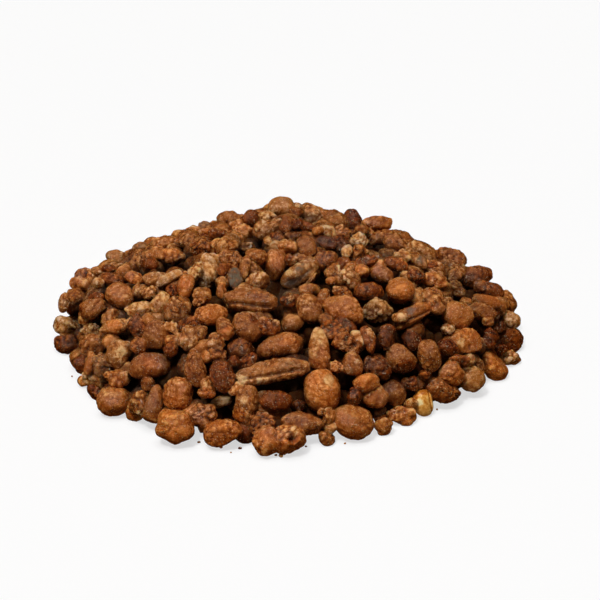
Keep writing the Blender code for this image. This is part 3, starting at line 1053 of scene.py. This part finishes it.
def normals_of(points, quads):
    corners = points[quads]
    face = np.cross(corners[:, 2] - corners[:, 0], corners[:, 3] - corners[:, 1])
    return unit(over_corners(quads, face, len(points)))


def hollowness(points, quads, normals):
    """How far each point lies below the middle of its quads, in units of their size."""
    corners = points[quads]
    size = np.linalg.norm(corners[:, 2] - corners[:, 0], axis=1, keepdims=True)
    values = np.concatenate([corners.mean(axis=1), size, np.ones_like(size)], axis=1)
    total = over_corners(quads, values, len(points))
    offset = total[:, :3] / total[:, 4:] - points
    return (offset * normals).sum(axis=1) / (total[:, 3] / total[:, 4])


# The distance between a net's points, finer where the photograph looks.
SEEN_NET, DEALT_NET, INNER_NET = 0.74 * MM, 0.95 * MM, 1.9 * MM
MOST_STEPS = 24
SEEN_DEEPEST = 6.5 * MM  # a photographed piece never gets more painted shade than at this depth

TONE_CRUST = {"glazed": 0.70, "amber": 0.88, "umber": 1.25, "ash": 1.30}  # times the kind's crust
CRUST_LEAST, CRUST_SPREAD = 0.7, 0.5  # times that again, by the piece's seed
GOLDEN_PART = 0.618  # spreads the seeds evenly between 0 and 1
PATCH_SIZE, PATCH_MEAN, PATCH_SWING = 7.5 * MM, 0.62, 1.1  # where the crust is thick or thin
PATCH_RANGE = (0.15, 1.30)
SWELL_SIZE, SWELL_HEIGHT = 8.5 * MM, 0.80 * MM
KNOB_SIZE, KNOB_HEIGHT = 4.4 * MM, 0.62 * MM
GRAIN_SIZE, GRAIN_HEIGHT = 2.3 * MM, 0.78 * MM
FINE_SIZE, FINE_HEIGHT = 1.35 * MM, 0.40 * MM
KNOB_SCALE, KNOB_LEVEL, GRAIN_LEVEL = 1.6, 0.5, 0.45  # bring the knobs and grains to about zero
MARKED_KNOB, MARKED_GRAIN, MARKED_FINE = 0.6, 0.6, 0.3  # of their heights in the mark for the material
PATCH_MOVE, KNOB_MOVE, FINE_MOVE = 0.2, 0.31, 0.17  # keeps the patterns from following each other


def add_crust(points, quads, amount):
    """Sugar crust: broad swells, knobs and then grains, thicker in some places than in others.

    Also says how high each point stands in the knobs and grains, from about -1 to 1.
    """
    normals = normals_of(points, quads)
    patches = np.clip(PATCH_MEAN + noise(points + PATCH_MOVE, PATCH_SIZE) * PATCH_SWING, *PATCH_RANGE)
    rough = amount * patches
    knob = np.abs(noise(points + KNOB_MOVE, KNOB_SIZE)) * KNOB_SCALE - KNOB_LEVEL
    grain = grains(points, GRAIN_SIZE) - GRAIN_LEVEL
    fine = grains(points + FINE_MOVE, FINE_SIZE) - GRAIN_LEVEL
    shift = noise(points, SWELL_SIZE) * SWELL_HEIGHT * amount + knob * KNOB_HEIGHT * amount
    shift += (grain * GRAIN_HEIGHT + fine * FINE_HEIGHT) * rough
    height = knob * MARKED_KNOB + grain * MARKED_GRAIN + fine * MARKED_FINE
    height = height * np.minimum(amount, 1)
    return points + normals * shift[:, None], height


# Each tone: (how light the caramel is, how much pale sugar shows, how much bare grey skin shows).
TONES = {
    "burnt": (0.14, 0.00, 0.0),
    "dark": (0.27, 0.02, 0.0),
    "umber": (0.36, 0.04, 0.0),
    "brown": (0.50, 0.08, 0.0),
    "tan": (0.58, 0.22, 0.0),
    "amber": (0.625, 0.03, 0.0),
    "honey": (0.70, 0.12, 0.0),
    "cream": (0.76, 0.28, 0.0),
    "pale": (0.56, 0.30, 0.0),
    "ash": (0.48, 0.20, 0.45),
    "glazed": (0.70, 0.00, 0.0),
    "grey": (0.30, 0.10, 1.0),
    "golden": (0.55, 0.50, 0.0),
}
DEALT_STRAY, SEEN_STRAY = 0.08, 0.02  # how far single pieces stray from their tone
PALE_STRAY = (0.6, 1.3)
TOP_LIGHT_LEVEL, TOP_LIGHT_TONE, TOP_LIGHT_PALE = 0.35, 0.06, 0.03  # painted light: what faces up is lighter and paler, what faces down darker
HOLLOW_SCALE, HEIGHT_SHARE = 2.0, 0.22  # of the mark for hollows, which is one half on even ground; it carries painted shade and highlights
GROOVE_SHADE = 14  # millimetres of depth that a groove's full painted shade counts for
LOWEST_POINT = 0.05 * MM  # above the ground
SHEET_RATIO = 1.5  # each piece's sheet in its mesh's map is this much wider than high


def net_steps(piece):
    """How many steps the piece's net needs along each side of its cube."""
    if piece.want >= INNER_DEPTH:
        spacing = INNER_NET
    else:
        spacing = DEALT_NET if piece.ray is None else SEEN_NET
    quarter = math.pi / 4 * (piece.axes[0] + piece.axes[1])
    return int(np.clip(2 * round(quarter / spacing / 2), 4, MOST_STEPS))


def crust_on(piece):
    """How thick the piece's crust is, as a share of the full relief."""
    share = KINDS[piece.kind].crust * TONE_CRUST.get(piece.tone, 1.0)
    return share * (CRUST_LEAST + CRUST_SPREAD * (piece.seed * GOLDEN_PART % 1))


class Surfaces:
    """The surfaces of pieces that share one net: arrays with one row a piece."""

    def __init__(self, pieces, steps, skin):
        ways, self.quads, self.sheet = square_net(steps)
        self.pieces = pieces
        count, size = len(pieces), len(ways)
        shapes = [base_shape(piece, ways) for piece in pieces]
        points = np.concatenate([p.centre + shape[0] @ p.turn.T for p, shape in zip(pieces, shapes)])
        amount = [crust_on(piece) for piece in pieces]
        quads = (self.quads[None] + (np.arange(count) * size)[:, None, None]).reshape(-1, 4)
        points, height = add_crust(points, quads, np.repeat(amount, size))
        points[:, 2] = np.maximum(points[:, 2], LOWEST_POINT)
        normals = normals_of(points, quads)
        dice = np.random.default_rng(count)
        tones = np.array([TONES[p.tone] for p in pieces])
        stray = [DEALT_STRAY if p.ray is None else SEEN_STRAY for p in pieces]
        tones[:, 0] += dice.normal(size=count) * np.array(stray)
        tones[:, 1] *= dice.uniform(*PALE_STRAY, count)
        tone, pale, grey = np.repeat(tones, size, axis=0).T
        # painted light: surfaces that face up are drawn lighter and paler, those that face down darker
        settled = normals[:, 2] - TOP_LIGHT_LEVEL
        tone = tone + TOP_LIGHT_TONE * settled
        pale = pale + TOP_LIGHT_PALE * settled
        # the hollow mark, higher in hollows and lower on crests: the materials paint shade and highlights
        # from it, and put less pale sugar in hollows
        hollow = 0.5 + hollowness(points, quads, normals) * HOLLOW_SCALE - height * HEIGHT_SHARE
        look = np.stack([tone, pale, hollow, grey], axis=1)
        seen = np.repeat([p.ray is not None for p in pieces], size)
        # deep drives the painted shade: depth under the skin, capped for photographed pieces
        deep = np.minimum(skin.depth(points)[0], np.where(seen, SEEN_DEEPEST, DEEPEST))
        # plus painted shade in grooves and slits, counted as extra depth
        deep += np.concatenate([shape[1] for shape in shapes]) * GROOVE_SHADE * MM
        self.points, self.normals = points.reshape(count, size, 3), normals.reshape(count, size, 3)
        self.look, self.deep = look.reshape(count, size, 4), deep.reshape(count, size)


def make_thing(name, parts):
    """One mesh of these (surfaces, row) parts, with its own map layout and the marks for its material."""
    columns = max(1, math.ceil(math.sqrt(len(parts) / SHEET_RATIO)))
    rows = math.ceil(len(parts) / columns)
    points, quads, sheets, looks, deeps, start = [], [], [], [], [], 0
    for number, (surfaces, row) in enumerate(parts):
        points.append(surfaces.points[row])
        quads.append(surfaces.quads + start)
        sheets.append((surfaces.sheet + (number % columns, number // columns)) / (columns, rows))
        looks.append(surfaces.look[row])
        deeps.append(surfaces.deep[row])
        start += len(surfaces.points[row])
    mesh = mesh_from(name, np.concatenate(points), np.concatenate(quads))
    layer = mesh.uv_layers.new(name="OFBake")
    layer.data.foreach_set("uv", np.concatenate(sheets).astype(np.float32).ravel())
    mark = mesh.attributes.new("look", "FLOAT_COLOR", "POINT")
    mark.data.foreach_set("color", np.clip(np.concatenate(looks), 0, 1).astype(np.float32).ravel())
    mark = mesh.attributes.new("deep", "FLOAT", "POINT")
    mark.data.foreach_set("value", np.concatenate(deeps).astype(np.float32))
    return link_mesh(name, mesh)


def mesh_from(name, points, quads):
    mesh = bpy.data.meshes.new(name)
    mesh.vertices.add(len(points))
    mesh.vertices.foreach_set("co", points.astype(np.float32).ravel())
    mesh.loops.add(quads.size)
    mesh.loops.foreach_set("vertex_index", quads.ravel().astype(np.int32))
    mesh.polygons.add(len(quads))
    mesh.polygons.foreach_set("loop_start", np.arange(0, quads.size, 4, dtype=np.int32))
    mesh.update(calc_edges=True)
    mesh.shade_smooth()
    return mesh


def link_mesh(name, mesh):
    thing = bpy.data.objects.new(name, mesh)
    bpy.context.scene.collection.objects.link(thing)
    return thing


CORE_STEPS = 30
CORE_SHOULDER = 2.5  # the core reaches its full depth where the sine of the rise is 1 over this
CORE_LUMP_SIZE, CORE_LUMP_DEPTH = 11.0 * MM, 5.0 * MM


def make_core(skin):
    """A smaller heap inside the pieces: a lumpy dome with a flat foot."""
    ways, quads, _ = square_net(CORE_STEPS)
    lifted = unit(np.stack([ways[:, 0], ways[:, 1], np.maximum(ways[:, 2], 0)], axis=1))
    share = np.clip(lifted[:, 2] * CORE_SHOULDER, 0, 1)
    points = skin.points(lifted, CORE_FOOT_DEPTH + (CORE_DEPTH - CORE_FOOT_DEPTH) * share)
    points -= unit(points) * (np.abs(noise(points, CORE_LUMP_SIZE)) * CORE_LUMP_DEPTH)[:, None]
    below = ways[:, 2] < 0
    points[below] *= np.sqrt(np.maximum(0, 1 - ways[below, 2:] ** 2))
    points[below, 2] = 0.0
    points[:, 2] = np.maximum(points[:, 2], 0.0)
    return link_mesh("heap_core", mesh_from("heap_core", points, quads))


# ---- Materials ------------------------------------------------------------------------------------
class Nodes:
    """Builds one material's nodes, with short calls for what they all need."""

    def __init__(self, name):
        self.material = bpy.data.materials.new(name)
        self.material.use_nodes = True
        self.tree = self.material.node_tree
        self.shader = self.tree.nodes["Principled BSDF"]
        self.place = self.new("ShaderNodeTexCoord").outputs["Object"]

    def new(self, kind):
        return self.tree.nodes.new(kind)

    def put(self, socket, value):
        """Links an output to the socket, or sets it to a plain value."""
        if isinstance(value, bpy.types.NodeSocket):
            self.tree.links.new(value, socket)
        else:
            socket.default_value = value

    def noise(self, size, detail=2.0, roughness=0.5, offset=0.0):
        """Cloudy noise from 0 to 1, whose clouds are about this far apart, in metres."""
        node = self.new("ShaderNodeTexNoise")
        place = self.place
        if offset:
            place = self.vector("ADD", place, (offset, offset, offset))
        self.put(node.inputs["Vector"], place)
        node.inputs["Scale"].default_value = 1 / size
        node.inputs["Detail"].default_value = detail
        node.inputs["Roughness"].default_value = roughness
        return node.outputs["Fac"]

    def cells(self, size):
        """Distance to the nearest of many scattered points, in units of their spacing."""
        node = self.new("ShaderNodeTexVoronoi")
        self.put(node.inputs["Vector"], self.place)
        node.inputs["Scale"].default_value = 1 / size
        return node.outputs["Distance"]

    def vector(self, operation, a, b):
        node = self.new("ShaderNodeVectorMath")
        node.operation = operation
        self.put(node.inputs[0], a)
        self.put(node.inputs[1], b)
        return node.outputs["Vector"]

    def maths(self, operation, a, b=0.0):
        node = self.new("ShaderNodeMath")
        node.operation = operation
        self.put(node.inputs[0], a)
        self.put(node.inputs[1], b)
        return node.outputs["Value"]

    def weighed(self, start, *terms):
        """start, plus each (value, weight) taken about one half."""
        total = start
        for value, weight in terms:
            term = self.maths("MULTIPLY", self.maths("SUBTRACT", value, 0.5), weight)
            total = self.maths("ADD", total, term)
        return total

    def between(self, value, low, high, to_low=0.0, to_high=1.0):
        node = self.new("ShaderNodeMapRange")
        node.interpolation_type = "SMOOTHSTEP"
        self.put(node.inputs["Value"], value)
        ends = {"From Min": low, "From Max": high, "To Min": to_low, "To Max": to_high}
        for name, number in ends.items():
            self.put(node.inputs[name], number)
        return node.outputs["Result"]

    def ramp(self, value, stops):
        node = self.new("ShaderNodeValToRGB")
        self.put(node.inputs["Fac"], value)
        elements = node.color_ramp.elements
        while len(elements) < len(stops):
            elements.new(0.5)
        for element, (position, colour) in zip(elements, stops):
            element.position = position
            element.color = (*colour, 1.0)
        return node.outputs["Color"]

    def mix(self, share, a, b, blend="MIX"):
        node = self.new("ShaderNodeMix")
        node.data_type = "RGBA"
        node.blend_type = blend
        self.put(node.inputs["Factor"], share)
        for socket, value in ((node.inputs[6], a), (node.inputs[7], b)):
            self.put(socket, (*value, 1.0) if isinstance(value, tuple) else value)
        return node.outputs[2]

    def mark(self, name):
        node = self.new("ShaderNodeAttribute")
        node.attribute_name = name
        return node

    def marks(self):
        """What the mesh says of each place: (tone, paleness, hollowness, greyness, depth)."""
        look = self.mark("look")
        parts = self.new("ShaderNodeSeparateColor")
        self.put(parts.inputs["Color"], look.outputs["Color"])
        return *parts.outputs, look.outputs["Alpha"], self.mark("deep").outputs["Fac"]

    def bump(self, height, distance, strength=1.0):
        node = self.new("ShaderNodeBump")
        node.inputs["Distance"].default_value = distance
        node.inputs["Strength"].default_value = strength
        self.put(node.inputs["Height"], height)
        return node.outputs["Normal"]

    def surface(self, **values):
        """Sets the shader's sockets, named as Blender does but with _ for each space."""
        for name, value in values.items():
            self.put(self.shader.inputs[name.replace("_", " ")], value)


# Caramel from nearly black to light amber, as the pieces' tones and mottling pick it.
CARAMEL = (
    (0.00, (0.030, 0.0060, 0.0015)),
    (0.25, (0.100, 0.0210, 0.0035)),
    (0.50, (0.235, 0.0560, 0.0080)),
    (0.72, (0.410, 0.1300, 0.0220)),
    (0.88, (0.600, 0.2500, 0.0650)),
    (1.00, (0.780, 0.4200, 0.1500)),
)
PALE_SUGAR = (0.80, 0.54, 0.25)
SYRUPY = (1.10, 0.80, 0.50)  # times a colour: clear caramel with no sugar on it
DUSTY = (0.90, 1.30, 2.60)  # times a colour: caramel under a thin dull bloom of sugar
PLUM_SUGAR = (0.110, 0.034, 0.014)
WARM_GLINT = (1.0, 0.74, 0.48, 1.0)
GREY_SKIN = (0.125, 0.095, 0.058)
SYRUP_CLEARNESS, SYRUP_GLOW, SYRUP_REACH = 0.35, (1.0, 0.30, 0.08), 1.1 * MM
COAT_SHARE, COAT_ROUGHNESS = 0.8, 0.06
CRUST_BUMP = 0.9 * MM
# Between which depths under the skin a surface goes dark with painted shade, or matt.
CRUST_SHADED, CRUST_MATT = (1.6 * MM, 10.0 * MM), (5.0 * MM, 11.0 * MM)
KERNEL_SHADED = (7.0 * MM, 15.0 * MM)
DEEP_MOST = 0.95
DEEP_SHADE = (0.015, 0.0040, 0.0020)
CORE_BROWN = (0.022, 0.006, 0.003)
GOLDEN = (
    (0.00, (0.17, 0.036, 0.003)),
    (0.40, (0.52, 0.160, 0.016)),
    (0.72, (0.82, 0.400, 0.080)),
    (1.00, (0.95, 0.740, 0.360)),
)


# How much lighter each pattern makes the caramel. The hollow term is painted shade in hollows and a painted
# highlight on crests.
SWELL_LIGHT, BLOTCH_LIGHT, GRAIN_LIGHT, PAINTED_HOLLOW_SHADE, SPECK_LIGHT = 0.36, 0.16, 0.32, -0.82, 0.30
# Where each look begins and ends on the scale that it goes by, and the most that shows of it.
SPECKS = (0.58, 0.72)  # of the grain
CRYSTALS, CRYSTAL_CLOUDS, CRYSTAL_MOST = (0.14, 0.36), (0.35, 0.65), 0.40
DUST_CLOUDS, DUST_MOST = (0.42, 0.62), 0.60
DUST_BEGINS, DUST_LEAST, DUST_ENDS = (0.04, 0.26), 0.15, (0.30, 0.48)  # of the paleness
SYRUP_ENDS, SYRUP_MOST = (0.0, 0.08), 0.85  # of the paleness
PLUM_CLOUDS, PLUM_MOST = (0.52, 0.78), 0.10
SUGAR, SUGAR_MOST = (0.45, 1.05), 0.75
GREY_BLOTCHES, GREY_MOST, GREY_LEAST = (0.35, 0.60), 0.95, 0.30
# The clouds that mottle the crust: size, detail, roughness and how far their pattern is moved.
CRUST_CLOUDS = (
    (7.0 * MM, 2.0, 0.50, 0.031),  # broad swells of lighter and darker caramel
    (2.4 * MM, 3.0, 0.60, 0.0),  # blotches
    (0.65 * MM, 2.0, 0.70, 0.017),  # single sugar grains
    (4.5 * MM, 2.0, 0.50, 0.044),  # where crystals grew
    (5.0 * MM, 3.0, 0.60, 0.071),  # where dust lies
    (8.0 * MM, 3.0, 0.55, 0.083),  # where the sugar is plum-coloured
    (3.5 * MM, 2.0, 0.50, 0.057),  # where the sugar dried pale
)
CRYSTAL_SIZE = 1.1 * MM


def crust_material(name, roughness=0.22, specular=0.7):
    """Sugar crust over nuts: mottled caramel with pale grains, painted shade in its hollows and deep under
    the heap's skin, and painted highlights on its crests.
    """
    nodes = Nodes(name)
    swell, blotch, grain, crystal_clouds, dust_clouds, plum_clouds, sugar_clouds = (
        nodes.noise(*clouds) for clouds in CRUST_CLOUDS
    )
    crystals = nodes.between(nodes.cells(CRYSTAL_SIZE), *CRYSTALS, 1.0, 0.0)
    crystals = nodes.maths("MULTIPLY", crystals, nodes.between(crystal_clouds, *CRYSTAL_CLOUDS))
    tone, pale, hollow, grey, deep = nodes.marks()
    shaded = nodes.between(deep, *CRUST_SHADED, 0.0, DEEP_MOST)
    matt = nodes.between(deep, *CRUST_MATT, 0.0, DEEP_MOST)

    level = nodes.weighed(tone, (swell, SWELL_LIGHT), (blotch, BLOTCH_LIGHT), (grain, GRAIN_LIGHT))
    # painted shade in the hollows and painted highlights on the crests
    level = nodes.weighed(level, (hollow, PAINTED_HOLLOW_SHADE))
    level = nodes.maths("ADD", level, nodes.between(grain, *SPECKS, 0.0, SPECK_LIGHT))
    colour = nodes.ramp(level, CARAMEL)
    dust = nodes.between(dust_clouds, *DUST_CLOUDS, 0.0, DUST_MOST)
    dust = nodes.maths("MULTIPLY", dust, nodes.between(pale, *DUST_BEGINS, DUST_LEAST, 1.0))
    dust = nodes.maths("MULTIPLY", dust, nodes.between(pale, *DUST_ENDS, 1.0, 0.0))
    colour = nodes.mix(dust, colour, DUSTY, blend="MULTIPLY")
    colour = nodes.mix(nodes.between(pale, *SYRUP_ENDS, SYRUP_MOST, 0.0), colour, SYRUPY, blend="MULTIPLY")
    colour = nodes.mix(nodes.between(plum_clouds, *PLUM_CLOUDS, 0.0, PLUM_MOST), colour, PLUM_SUGAR)
    sugar = nodes.weighed(pale, (sugar_clouds, 0.7), (grain, 1.2), (hollow, -0.7))
    colour = nodes.mix(nodes.between(sugar, *SUGAR, 0.0, SUGAR_MOST), colour, PALE_SUGAR)
    colour = nodes.mix(nodes.maths("MULTIPLY", crystals, CRYSTAL_MOST), colour, PALE_SUGAR)
    grey_blotches = nodes.between(blotch, *GREY_BLOTCHES, GREY_MOST, GREY_LEAST)
    colour = nodes.mix(nodes.maths("MULTIPLY", grey, grey_blotches), colour, GREY_SKIN)
    # painted shade, darker deeper under the heap's skin
    colour = nodes.mix(shaded, colour, DEEP_SHADE)
    rough = nodes.maths("MAXIMUM", nodes.weighed(roughness, (blotch, 0.2), (crystals, 0.2)), matt)
    height = nodes.weighed(0.5, (blotch, 0.7), (grain, 0.58), (crystals, 0.60))
    normal = nodes.bump(height, CRUST_BUMP)
    nodes.surface(Base_Color=colour, Roughness=rough, Normal=normal, Coat_Normal=normal)
    nodes.surface(Specular_IOR_Level=specular, Specular_Tint=WARM_GLINT)
    nodes.surface(Coat_Weight=specular * COAT_SHARE, Coat_Roughness=COAT_ROUGHNESS)
    nodes.surface(Subsurface_Weight=SYRUP_CLEARNESS, Subsurface_Radius=SYRUP_GLOW)
    nodes.surface(Subsurface_Scale=SYRUP_REACH)
    return nodes.material


def kernel_material(name):
    """A bare nut: smooth, golden, with fine streaks, painted shade in its hollows, its slit and at depth,
    and painted highlights on its crests.
    """
    nodes = Nodes(name)
    swell = nodes.noise(6.0 * MM, 3.0, 0.5)
    fine = nodes.noise(1.1 * MM, 3.0, 0.6, offset=0.02)
    tone, pale, hollow, _, deep = nodes.marks()
    # the hollow term is painted shade in hollows and a painted highlight on crests
    level = nodes.weighed(0.52, (swell, 1.0), (fine, 0.8), (hollow, -0.8), (tone, 0.9), (pale, 0.8))
    # painted shade, darker deeper under the skin and in the slit
    colour = nodes.mix(nodes.between(deep, *KERNEL_SHADED, 0.0, 0.9), nodes.ramp(level, GOLDEN), DEEP_SHADE)
    normal = nodes.bump(nodes.weighed(0.5, (fine, 0.6)), 0.2 * MM, 0.7)
    nodes.surface(Base_Color=colour, Roughness=nodes.weighed(0.26, (fine, 0.2)), Normal=normal)
    return nodes.material


def core_material():
    """The inside of the heap, coloured near black as painted deep shade."""
    nodes = Nodes("heap inside")
    blotch = nodes.noise(6.0 * MM, 4.0, 0.6)
    fine = nodes.noise(1.5 * MM, 3.0, 0.6, offset=0.02)
    colour = nodes.mix(nodes.weighed(0.2, (blotch, 0.8), (fine, 0.4)), DEEP_SHADE, CORE_BROWN)
    normal = nodes.bump(nodes.weighed(0.5, (blotch, 1.0)), 1.0 * MM, 0.8)
    nodes.surface(Base_Color=colour, Roughness=nodes.weighed(0.95, (blotch, 0.1)), Normal=normal)
    nodes.surface(Specular_IOR_Level=0.0)
    return nodes.material


# ---- Floor and light ------------------------------------------------------------------------------
# Soft light from far off: where it stands, in degrees round from +X and up; its strength; how wide it
# looks, in degrees; and whether it shows as glints.
Sun = namedtuple("Sun", "name azimuth rise strength spread glints")
SUNS = (
    Sun("overhead softbox", 252, 78, 1.26, 50, False),
    Sun("overhead sheen", 250, 82, 0.28, 30, True),
    Sun("key softbox", 241, 62, 1.78, 9, True),
)
WHITE = (1.0, 1.0, 1.0, 1.0)
FLOOR_SIZE = 6.0
FLOOR_GREY, FLOOR_ROUGHNESS = (0.34, 0.34, 0.34, 1.0), 0.7
FLOOR_GLOW = 0.62  # the photograph's floor is lit so evenly that it hardly shades
ROOM_COLOUR = (1.0, 0.90, 0.80, 1.0)
FLOOR_BOUNCE, ROOM_GLOW = 0.28, 0.08  # the room's light from below, in the floor's stead, and from above
BOUNCE_BELOW, GLOW_ABOVE = -0.6, 0.1  # the sines of the rises where each is at its full strength
BACKDROP_COLOUR = (0.97, 0.97, 0.97, 1.0)  # what the camera sees past the floor


def make_floor():
    bpy.ops.mesh.primitive_plane_add(size=FLOOR_SIZE)
    floor = bpy.context.object
    floor.name = "floor"
    nodes = Nodes("floor white")
    nodes.surface(Base_Color=FLOOR_GREY, Roughness=FLOOR_ROUGHNESS)
    nodes.surface(Emission_Color=WHITE, Emission_Strength=FLOOR_GLOW)
    floor.data.materials.append(nodes.material)
    floor.visible_glossy = False
    floor.visible_diffuse = False
    floor.visible_shadow = False


def add_sun(sun):
    data = bpy.data.lights.new(sun.name, "SUN")
    data.energy = sun.strength
    data.angle = math.radians(sun.spread)
    lamp = bpy.data.objects.new(sun.name, data)
    lamp.visible_glossy = sun.glints
    lamp.location = Vector(way_to(sun.azimuth, sun.rise))
    lamp.rotation_euler = lamp.location.to_track_quat("Z", "Y").to_euler()
    bpy.context.scene.collection.objects.link(lamp)


def make_light():
    for sun in SUNS:
        add_sun(sun)
    world = bpy.data.worlds.new("room")
    world.use_nodes = True
    nodes, link = world.node_tree.nodes, world.node_tree.links.new
    way = nodes.new("ShaderNodeSeparateXYZ")
    link(nodes.new("ShaderNodeTexCoord").outputs["Generated"], way.inputs["Vector"])
    strength = nodes.new("ShaderNodeMapRange")
    ends = {"From Min": BOUNCE_BELOW, "From Max": GLOW_ABOVE, "To Min": FLOOR_BOUNCE, "To Max": ROOM_GLOW}
    for name, value in ends.items():
        strength.inputs[name].default_value = value
    link(way.outputs["Z"], strength.inputs["Value"])
    room, backdrop = nodes["Background"], nodes.new("ShaderNodeBackground")
    room.inputs["Color"].default_value = ROOM_COLOUR
    link(strength.outputs["Result"], room.inputs["Strength"])
    backdrop.inputs["Color"].default_value = BACKDROP_COLOUR
    looked_at = nodes.new("ShaderNodeLightPath").outputs["Is Camera Ray"]
    mixed = nodes.new("ShaderNodeMixShader")
    for output, socket in zip((looked_at, room.outputs[0], backdrop.outputs[0]), mixed.inputs):
        link(output, socket)
    link(mixed.outputs[0], nodes["World Output"].inputs["Surface"])
    world.cycles_visibility.glossy = False
    bpy.context.scene.world = world


def add_spots(batches, camera):
    """Paints the photographed spots on the nearest surface behind each of their pixels."""
    points = np.concatenate([b.points.reshape(-1, 3) for b in batches])
    normals = np.concatenate([b.normals.reshape(-1, 3) for b in batches])
    look = np.concatenate([b.look.reshape(-1, 4) for b in batches])
    x, y, away = camera.picture_of(points)
    facing = ((camera.place - points) * normals).sum(axis=1) > 0
    ragged = 1 + SPOT_RAGGED * noise(points, SPOT_RAGGED_SIZE)
    for kind, place in [(kind, place) for kind, places in SPOTS.items() for place in places]:
        spot = Spot(*place)
        tone, pale, grey, cut = SPOT_KINDS[kind]
        off = np.hypot(x - spot.x, y - spot.y) * ragged / spot.radius
        near = facing & (off < SPOT_SEARCH)
        if not near.any():
            continue
        near &= away < away[near].min() + SPOT_REACH
        share = np.clip((SPOT_EDGE - off[near]) / SPOT_FADE, 0, 1)
        look[near, 0] += tone * share
        look[near, 1] += pale * share
        look[near, 3] = np.maximum(look[near, 3], grey * share)
        points[near] -= normals[near] * (cut * share)[:, None]
    start = 0
    for batch in batches:
        count = batch.deep.size
        batch.look = look[start : start + count].reshape(batch.look.shape)
        batch.points = points[start : start + count].reshape(batch.points.shape)
        start += count


def group_of(piece):
    """The name of the piece's mesh: one for each kind, and the commonest kinds in two halves."""
    if piece.want >= INNER_DEPTH:
        return "buried_pieces"
    name = KINDS[piece.kind].mesh
    if name.endswith("_pieces"):
        name += "_front" if piece.centre[1] < 0 else "_back"
    return name


def main():
    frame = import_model()
    camera = Camera()
    camera.make()
    bpy.context.scene.view_settings.view_transform = "Standard"
    make_floor()
    make_light()
    skin = Skin(frame["nodes"][HEAP_NODE])
    pieces = packed_pieces(skin, camera) + crumbs_on_ground(camera)
    by_steps = {}
    for piece in pieces:
        by_steps.setdefault(net_steps(piece), []).append(piece)
    batches = [Surfaces(members, steps, skin) for steps, members in sorted(by_steps.items())]
    add_spots(batches, camera)
    groups = {}
    for batch in batches:
        for row, piece in enumerate(batch.pieces):
            groups.setdefault(group_of(piece), []).append((batch, row))
    crust = crust_material("candied crust")
    buried = crust_material("buried crust", roughness=0.8, specular=0.0)
    kernel = kernel_material("bare kernel")
    core = make_core(skin)
    core.data.materials.append(core_material())
    things = [core]
    for name, parts in sorted(groups.items()):
        thing = make_thing(name, parts)
        thing.data.materials.append({"bare_kernel": kernel, "buried_pieces": buried}.get(name, crust))
        things.append(thing)
    for thing in things:
        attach(thing, BODY)
    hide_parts(HEAP_NODE)


main()
